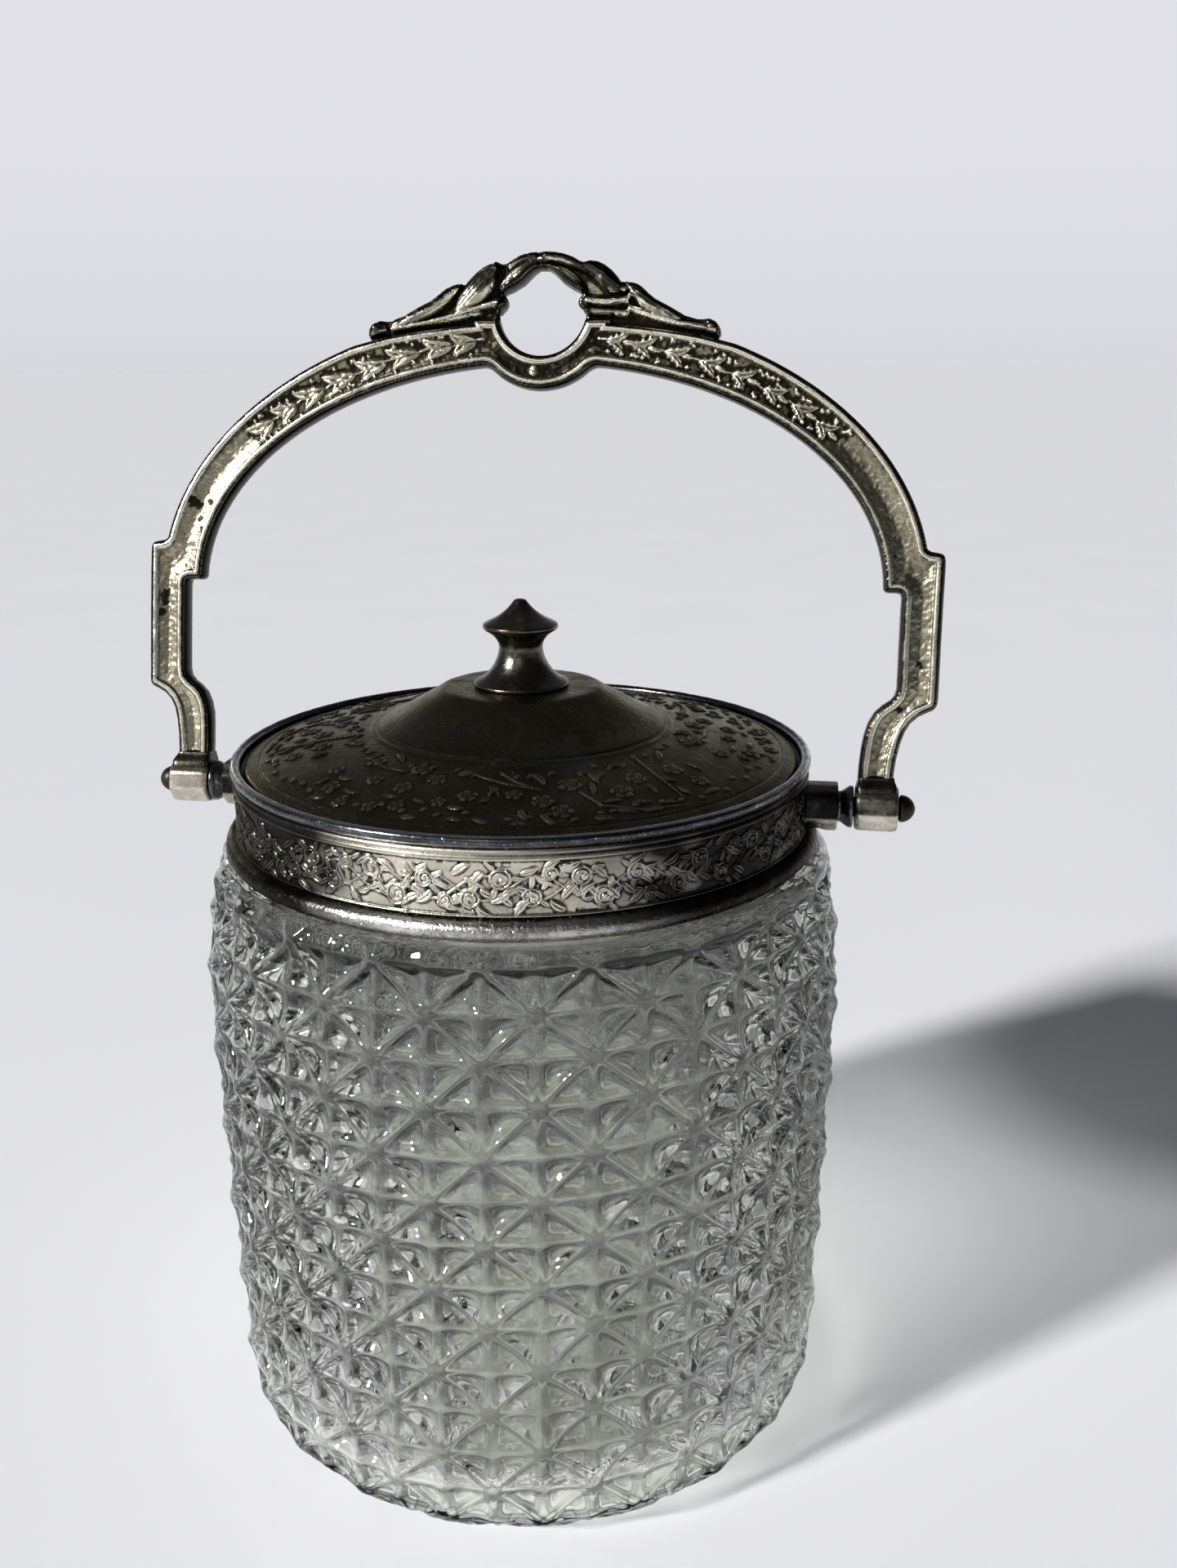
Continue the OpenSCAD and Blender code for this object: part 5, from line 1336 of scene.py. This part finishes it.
        ca, sa = math.cos(math.radians(ang)), math.sin(math.radians(ang)) * (1 if w > 0 else -1)
        ex, ey = (XX - w) * ca + (YY - u) * sa, -(XX - w) * sa + (YY - u) * ca
        q = np.hypot(ex / rw, ey / ru) + 0.22 * ball_noise(nx, ny, g, 0.9, 210)
        dk = np.maximum(dk, np.where(in_crest, k * smoothstep(1.25, 0.75, q), 0))
    dk = np.maximum(dk, np.where(s_cr < 0, 0.93 * smoothstep(SIDE + 1.0, SIDE + 0.35, -s_all + 0.15 * ball_noise(nx, ny, g, 1.2, 211)) * smoothstep(93.0, 95.0, YY), 0))
    dk = np.maximum(dk, 0.95 * gap)
    dk = np.maximum(dk, 0.95 * smoothstep(SIDE + 0.42, SIDE + 0.02, -s_all + 0.10 * ball_noise(nx, ny, g, 1.0, 209)))
    hi = np.clip((TT - blur(TT, nb)) / 0.22, 0, 1) * (s_all < -SIDE - 0.2)
    hi = np.maximum(hi, 0.55 * np.exp(-((d - SIDE - 0.55) / 0.28) ** 2) * (s_flat < 0))
    # ---- mesh
    s_in = s_all + SIDE
    gx, gy = np.gradient(s_in, g)
    gl = np.hypot(gx, gy) + 1e-6
    gx, gy = gx / gl, gy / gl
    cen = 0.25 * (s_in[:-1, :-1] + s_in[1:, :-1] + s_in[:-1, 1:] + s_in[1:, 1:])
    keep = cen < 0
    # drop cells with a corner too far out
    far = np.maximum.reduce([s_in[:-1, :-1], s_in[1:, :-1], s_in[:-1, 1:], s_in[1:, 1:]])
    keep &= far < 0.95 * g
    used = np.zeros(s_in.shape, bool)
    inner = np.ones(s_in.shape, bool)
    for di in (0, 1):
        for dj in (0, 1):
            used[di:di + nx - 1, dj:dj + ny - 1] |= keep
    cnt = np.zeros(s_in.shape, int)
    for di in (0, 1):
        for dj in (0, 1):
            cnt[di:di + nx - 1, dj:dj + ny - 1] += keep
    rim = used & (cnt < 4)
    px, py = XX.copy(), YY.copy()
    mv = np.clip(s_in, -1.1 * g, 1.1 * g)
    px = np.where(rim, XX - gx * mv, XX)
    py = np.where(rim, YY - gy * mv, YY)
    ids = -np.ones(s_in.shape, int)
    ids[used] = np.arange(used.sum())
    n = int(used.sum())
    w2, u2, t2 = px[used], py[used], TT[used]
    lo2, dk2, hi2 = low[used], dk[used], hi[used]
    front = np.stack([w2, -t2, u2], -1)
    back = np.stack([w2, t2, u2], -1)
    ci, cj = np.nonzero(keep)
    A, B, C, D = ids[ci, cj], ids[ci + 1, cj], ids[ci + 1, cj + 1], ids[ci, cj + 1]
    F_front = np.stack([A, B, C, D], -1)
    F_back = np.stack([A, D, C, B], -1) + n
    # boundary edges, directed with the face on their left
    kp = np.pad(keep, 1)
    edges = []
    for (di, dj, p, q) in ((0, -1, A, B), (1, 0, B, C), (0, 1, C, D), (-1, 0, D, A)):
        m = ~kp[ci + 1 + di, cj + 1 + dj]
        edges.append(np.stack([p[m], q[m]], -1))
    E = np.concatenate(edges)
    bv = np.unique(E)
    remap = -np.ones(n, int)
    remap[bv] = np.arange(len(bv))
    ggx, ggy = gx[used][bv], gy[used][bv]
    layers, lows, darks = [], [], []
    m = 9
    for kk in range(1, m):
        al = math.pi * kk / m
        off = SIDE * math.sin(al) ** 0.8
        nn = -np.sign(math.cos(al)) * abs(math.cos(al)) ** 1.0 * t2[bv] if True else 0
        layers.append(np.stack([w2[bv] + ggx * off, nn, u2[bv] + ggy * off], -1))
        lows.append(np.full(len(bv), 0.25))
        darks.append(np.full(len(bv), 0.55 if kk in (1, m - 1) else 1.0))
    V = np.concatenate([front, back] + layers)
    strips = []
    nb_ = len(bv)
    chain = [lambda v: v] + [(lambda v, o=2 * n + i * nb_: o + remap[v]) for i in range(m - 1)] + [lambda v: v + n]
    for f0, f1 in zip(chain, chain[1:]):
        a_, b_ = E[:, 0], E[:, 1]
        strips.append(np.stack([f0(b_), f0(a_), f1(a_), f1(b_)], -1))
    # the old casting has bent a little to its right
    V[:, 0] += 0.75 * smoothstep(4, 24, V[:, 2]) + 1.0 * smoothstep(28, 100, V[:, 2])
    # into the part's frame: w along X, n along Y, u up, then the lean
    cl, sl = math.cos(LEAN), math.sin(LEAN)
    W = np.stack([V[:, 0], V[:, 1] * cl + V[:, 2] * sl, PIVOT_Z - V[:, 1] * sl + V[:, 2] * cl], -1)
    lo = np.concatenate([lo2, np.clip(lo2 + 0.1, 0, 1)] + lows)
    dk = np.concatenate([dk2, dk2] + darks)
    hh = np.concatenate([hi2, hi2] + [np.zeros(nb_)] * (m - 1))
    o = mesh_object("bail_cast", W, [F_front, F_back] + strips, M["bail"], True, {"low": np.clip(lo, 0, 1), "side": np.clip(dk, 0, 1), "hi": np.clip(hh, 0, 1)})
    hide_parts("handle"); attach(o, "handle")
    return o


def bosses():
    rot = Matrix.Translation((0, 0, PIVOT_Z * MM)) @ Matrix.Rotation(-LEAN, 4, "X") @ Matrix.Translation((0, 0, -PIVOT_Z * MM))
    for sign, tag in ((1, "right"), (-1, "left")):
        # barrel: eight soft flats round the pivot, from the bore out over the ends
        n = 128
        q = np.arange(n) * 2 * math.pi / n
        k = ((q + math.pi / 8) % (math.pi / 4)) - math.pi / 8
        sec = np.minimum(4.46 / np.cos(k), 4.70)
        sec = 0.25 * np.roll(sec, 1) + 0.5 * sec + 0.25 * np.roll(sec, -1)
        x0, x1 = 65.9, 74.1
        lay = [(x0, None, 2.06), (x0, 0.86, 0), (x0 + 0.12, 0.92, 0), (x0 + 0.35, 0.965, 0), (x0 + 0.7, 0.992, 0), (x0 + 1.1, 1.0, 0), (x0 + 3.0, 1.003, 0), (x0 + 5.0, 1.004, 0), (x1 - 1.1, 1.0, 0),
               (x1 - 0.6, 0.985, 0), (x1 - 0.25, 0.95, 0), (x1 - 0.06, 0.90, 0), (x1, 0.84, 0), (x1, None, 2.06)]
        P, dark = [], []
        up = np.sin(q)
        front = -np.cos(q)
        for x, sc, r in lay:
            rad = np.full(n, r) if sc is None else sec * sc
            P.append(np.stack([np.full(n, sign * x), rad * np.cos(q), PIVOT_Z + rad * np.sin(q)], -1))
            # painted reflection and shade: the upper flats are painted dark, on the right barrel all but the lower
            # part, on the left a dark line at the middle; the ends are set half dark
            painted_mirror_shade = smoothstep(0.50, 0.72, up) * 0.97
            if sign > 0:
                painted_mirror_shade = np.maximum(painted_mirror_shade, 0.86 * smoothstep(-0.30, -0.22, up))
            else:
                painted_mirror_shade = np.maximum(painted_mirror_shade, 0.62 * np.exp(-((up - 0.06) / 0.13) ** 2))
            end = 0.5 if (sc is None or sc < 0.93) else 0.0
            dark.append(np.maximum(painted_mirror_shade, end))
        o = mesh_object("bail_barrel_" + tag, np.concatenate(P), grid_faces(len(lay), n, wrap_u=True, wrap_v=True, flip=sign > 0), M["boss"], True, {"low": np.concatenate(dark)})
        o.data.transform(rot)
        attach(o, "handle")
        # the saddle between barrel and leg
        n = 48
        q = np.arange(n) * 2 * math.pi / n
        lay = []
        for z, hx, hy, cx in ((0.5, 3.7, 3.5, 70.0), (2.6, 3.85, 3.6, 70.0), (3.6, 3.92, 3.5, 69.95), (4.2, 3.9, 3.25, 69.9), (4.8, 3.72, 2.85, 69.8), (5.3, 3.52, 2.5, 69.72), (5.7, 3.42, 2.36, 69.7),
                              (5.95, 3.38, 2.34, 69.7), (6.0, 3.2, 2.1, 69.7)):
            s = 0.24
            x = hx * np.sign(np.cos(q)) * np.abs(np.cos(q)) ** s
            y = hy * np.sign(np.sin(q)) * np.abs(np.sin(q)) ** s
            lay.append(np.stack([sign * (cx + x) + (0.25 * smoothstep(4, 7, z)), y, np.full(n, PIVOT_Z + z)], -1))
        V = np.concatenate(lay + [[[sign * 69.7, 0, PIVOT_Z + 7.5]], [[sign * 70.0, 0, PIVOT_Z + 0.5]]])
        F = grid_faces(len(lay), n, wrap_v=True, flip=sign > 0)
        i = np.arange(n)
        k = (len(lay) - 1) * n
        e = np.stack([k + i, k + (i + 1) % n, np.full(n, len(V) - 2)], -1)
        e0 = np.stack([(i + 1) % n, i, np.full(n, len(V) - 1)], -1)
        if sign < 0:
            e, e0 = e[:, ::-1], e0[:, ::-1]
        o = mesh_object("bail_saddle_" + tag, V, [F, e, e0], M["dark"], True)
        o.data.transform(rot)
        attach(o, "handle")


bail()
bosses()


# ---------------------------------------------------------------- floor, light and camera

PALE = (0.745, 0.745, 0.791)
HORIZON = (0.690, 0.694, 0.735)
DIM = (0.118, 0.121, 0.131)


def stage():
    # one pale sheet that runs to the horizon
    n = 40
    r = np.concatenate([[0.0], np.geomspace(0.25, 30.0, 24)])
    q = np.arange(n) * 2 * math.pi / n
    V = np.array([[a * math.cos(t), a * math.sin(t), -0.00002] for a in r[1:] for t in q] + [[0, 0, -0.00002]]) / MM
    i = np.arange(n)
    cap = np.stack([i, (i + 1) % n, np.full(n, len(V) - 1)], -1)
    f = mesh_object("floor_sheet", V, [grid_faces(len(r) - 1, n, wrap_v=True), cap], M["floor"], True)


stage()

# the room: pale up to the top of the picture, then dark
world = bpy.data.worlds.new("studio")
bpy.context.scene.world = world
world.use_nodes = True
wt = world.node_tree
tc = wt.nodes.new("ShaderNodeTexCoord")
sx = wt.nodes.new("ShaderNodeSeparateXYZ")
wt.links.new(tc.outputs["Generated"], sx.inputs[0])
wr = wt.nodes.new("ShaderNodeValToRGB")
wt.links.new(sx.outputs["Z"], wr.inputs["Fac"])
stops = [(0.0, HORIZON), (0.12, PALE), (0.220, PALE), (0.238, tuple(0.42 * c for c in PALE)), (0.265, DIM), (0.75, DIM), (1.0, DIM)]
while len(wr.color_ramp.elements) < len(stops):
    wr.color_ramp.elements.new(0.5)
for e, (at, c) in zip(wr.color_ramp.elements, stops):
    e.position = at
    e.color = (*c, 1)
# the pale wall stands behind the jar; to the sides and in front the room is greyer
flat = wt.nodes.new("ShaderNodeVectorMath")
flat.operation = "MULTIPLY"
flat.inputs[1].default_value = (1, 1, 0)
wt.links.new(tc.outputs["Generated"], flat.inputs[0])
unit = wt.nodes.new("ShaderNodeVectorMath")
unit.operation = "NORMALIZE"
wt.links.new(flat.outputs[0], unit.inputs[0])
dot = wt.nodes.new("ShaderNodeVectorMath")
dot.operation = "DOT_PRODUCT"
dot.inputs[1].default_value = (math.sin(math.radians(-8.68)), math.cos(math.radians(-8.68)), 0)
wt.links.new(unit.outputs[0], dot.inputs[0])
mr = wt.nodes.new("ShaderNodeMapRange")
mr.interpolation_type = "SMOOTHSTEP"
mr.inputs["From Min"].default_value = 0.25
mr.inputs["From Max"].default_value = 0.86
mr.inputs["To Min"].default_value = 0.30
mr.inputs["To Max"].default_value = 1.0
wt.links.new(dot.outputs["Value"], mr.inputs["Value"])
vm = wt.nodes.new("ShaderNodeVectorMath")
vm.operation = "SCALE"
wt.links.new(wr.outputs[0], vm.inputs[0])
wt.links.new(mr.outputs[0], vm.inputs["Scale"])
wt.links.new(vm.outputs[0], wt.nodes["Background"].inputs[0])
wt.nodes["Background"].inputs[1].default_value = 1.0
bpy.context.scene.view_settings.view_transform = "Standard"


def area(name, at, aim, size, power, colour=(1, 1, 1), size_y=None):
    d = bpy.data.lights.new(name, "AREA")
    d.shape = "RECTANGLE" if size_y else "SQUARE"
    d.size = size
    if size_y:
        d.size_y = size_y
    d.energy = power
    d.color = colour
    o = bpy.data.objects.new(name, d)
    bpy.context.scene.collection.objects.link(o)
    at, aim = Vector(at), Vector(aim)
    o.matrix_world = Matrix.Translation(at) @ (aim - at).to_track_quat("-Z", "Y").to_matrix().to_4x4()
    return o


def sun(name, azimuth, elevation, strength, angle, colour):
    """azimuth: degrees to the left of straight ahead of the object."""
    d = bpy.data.lights.new(name, "SUN")
    d.energy = strength
    d.angle = math.radians(angle)
    d.color = colour
    o = bpy.data.objects.new(name, d)
    bpy.context.scene.collection.objects.link(o)
    a, e = math.radians(azimuth), math.radians(elevation)
    src = Vector((-math.sin(a) * math.cos(e), -math.cos(a) * math.cos(e), math.sin(e)))
    o.matrix_world = (-src).to_track_quat("-Z", "Y").to_matrix().to_4x4()
    return o


sun("key", 49.6, 29.0, 5.5, 5.5, (1.0, 0.985, 0.965))
area("fill", (-0.05, -0.95, 0.70), (0, 0, 0.16), 0.42, 0.62, (1.0, 0.99, 0.97), 0.34)


def camera():
    yaw, pitch, roll = math.radians(-8.680), math.radians(17.056), math.radians(-0.234)
    fwd = Vector((math.sin(yaw) * math.cos(pitch), math.cos(yaw) * math.cos(pitch), -math.sin(pitch)))
    right = Vector((math.cos(yaw), -math.sin(yaw), 0))
    up = right.cross(fwd)
    r2 = math.cos(roll) * right + math.sin(roll) * up
    u2 = -math.sin(roll) * right + math.cos(roll) * up
    cam = bpy.data.cameras.new("camera")
    cam.sensor_fit = "AUTO"
    cam.sensor_width = 36.0
    cam.lens = 31.875
    cam.clip_start = 0.01
    cam.clip_end = 60
    o = bpy.data.objects.new("camera", cam)
    bpy.context.scene.collection.objects.link(o)
    m = Matrix.Identity(4)
    for i in range(3):
        m[i][0], m[i][1], m[i][2] = r2[i], u2[i], -fwd[i]
    m[0][3], m[1][3], m[2][3] = 0.05349, -0.26319, 0.21521
    o.matrix_world = m
    bpy.context.scene.camera = o


camera()
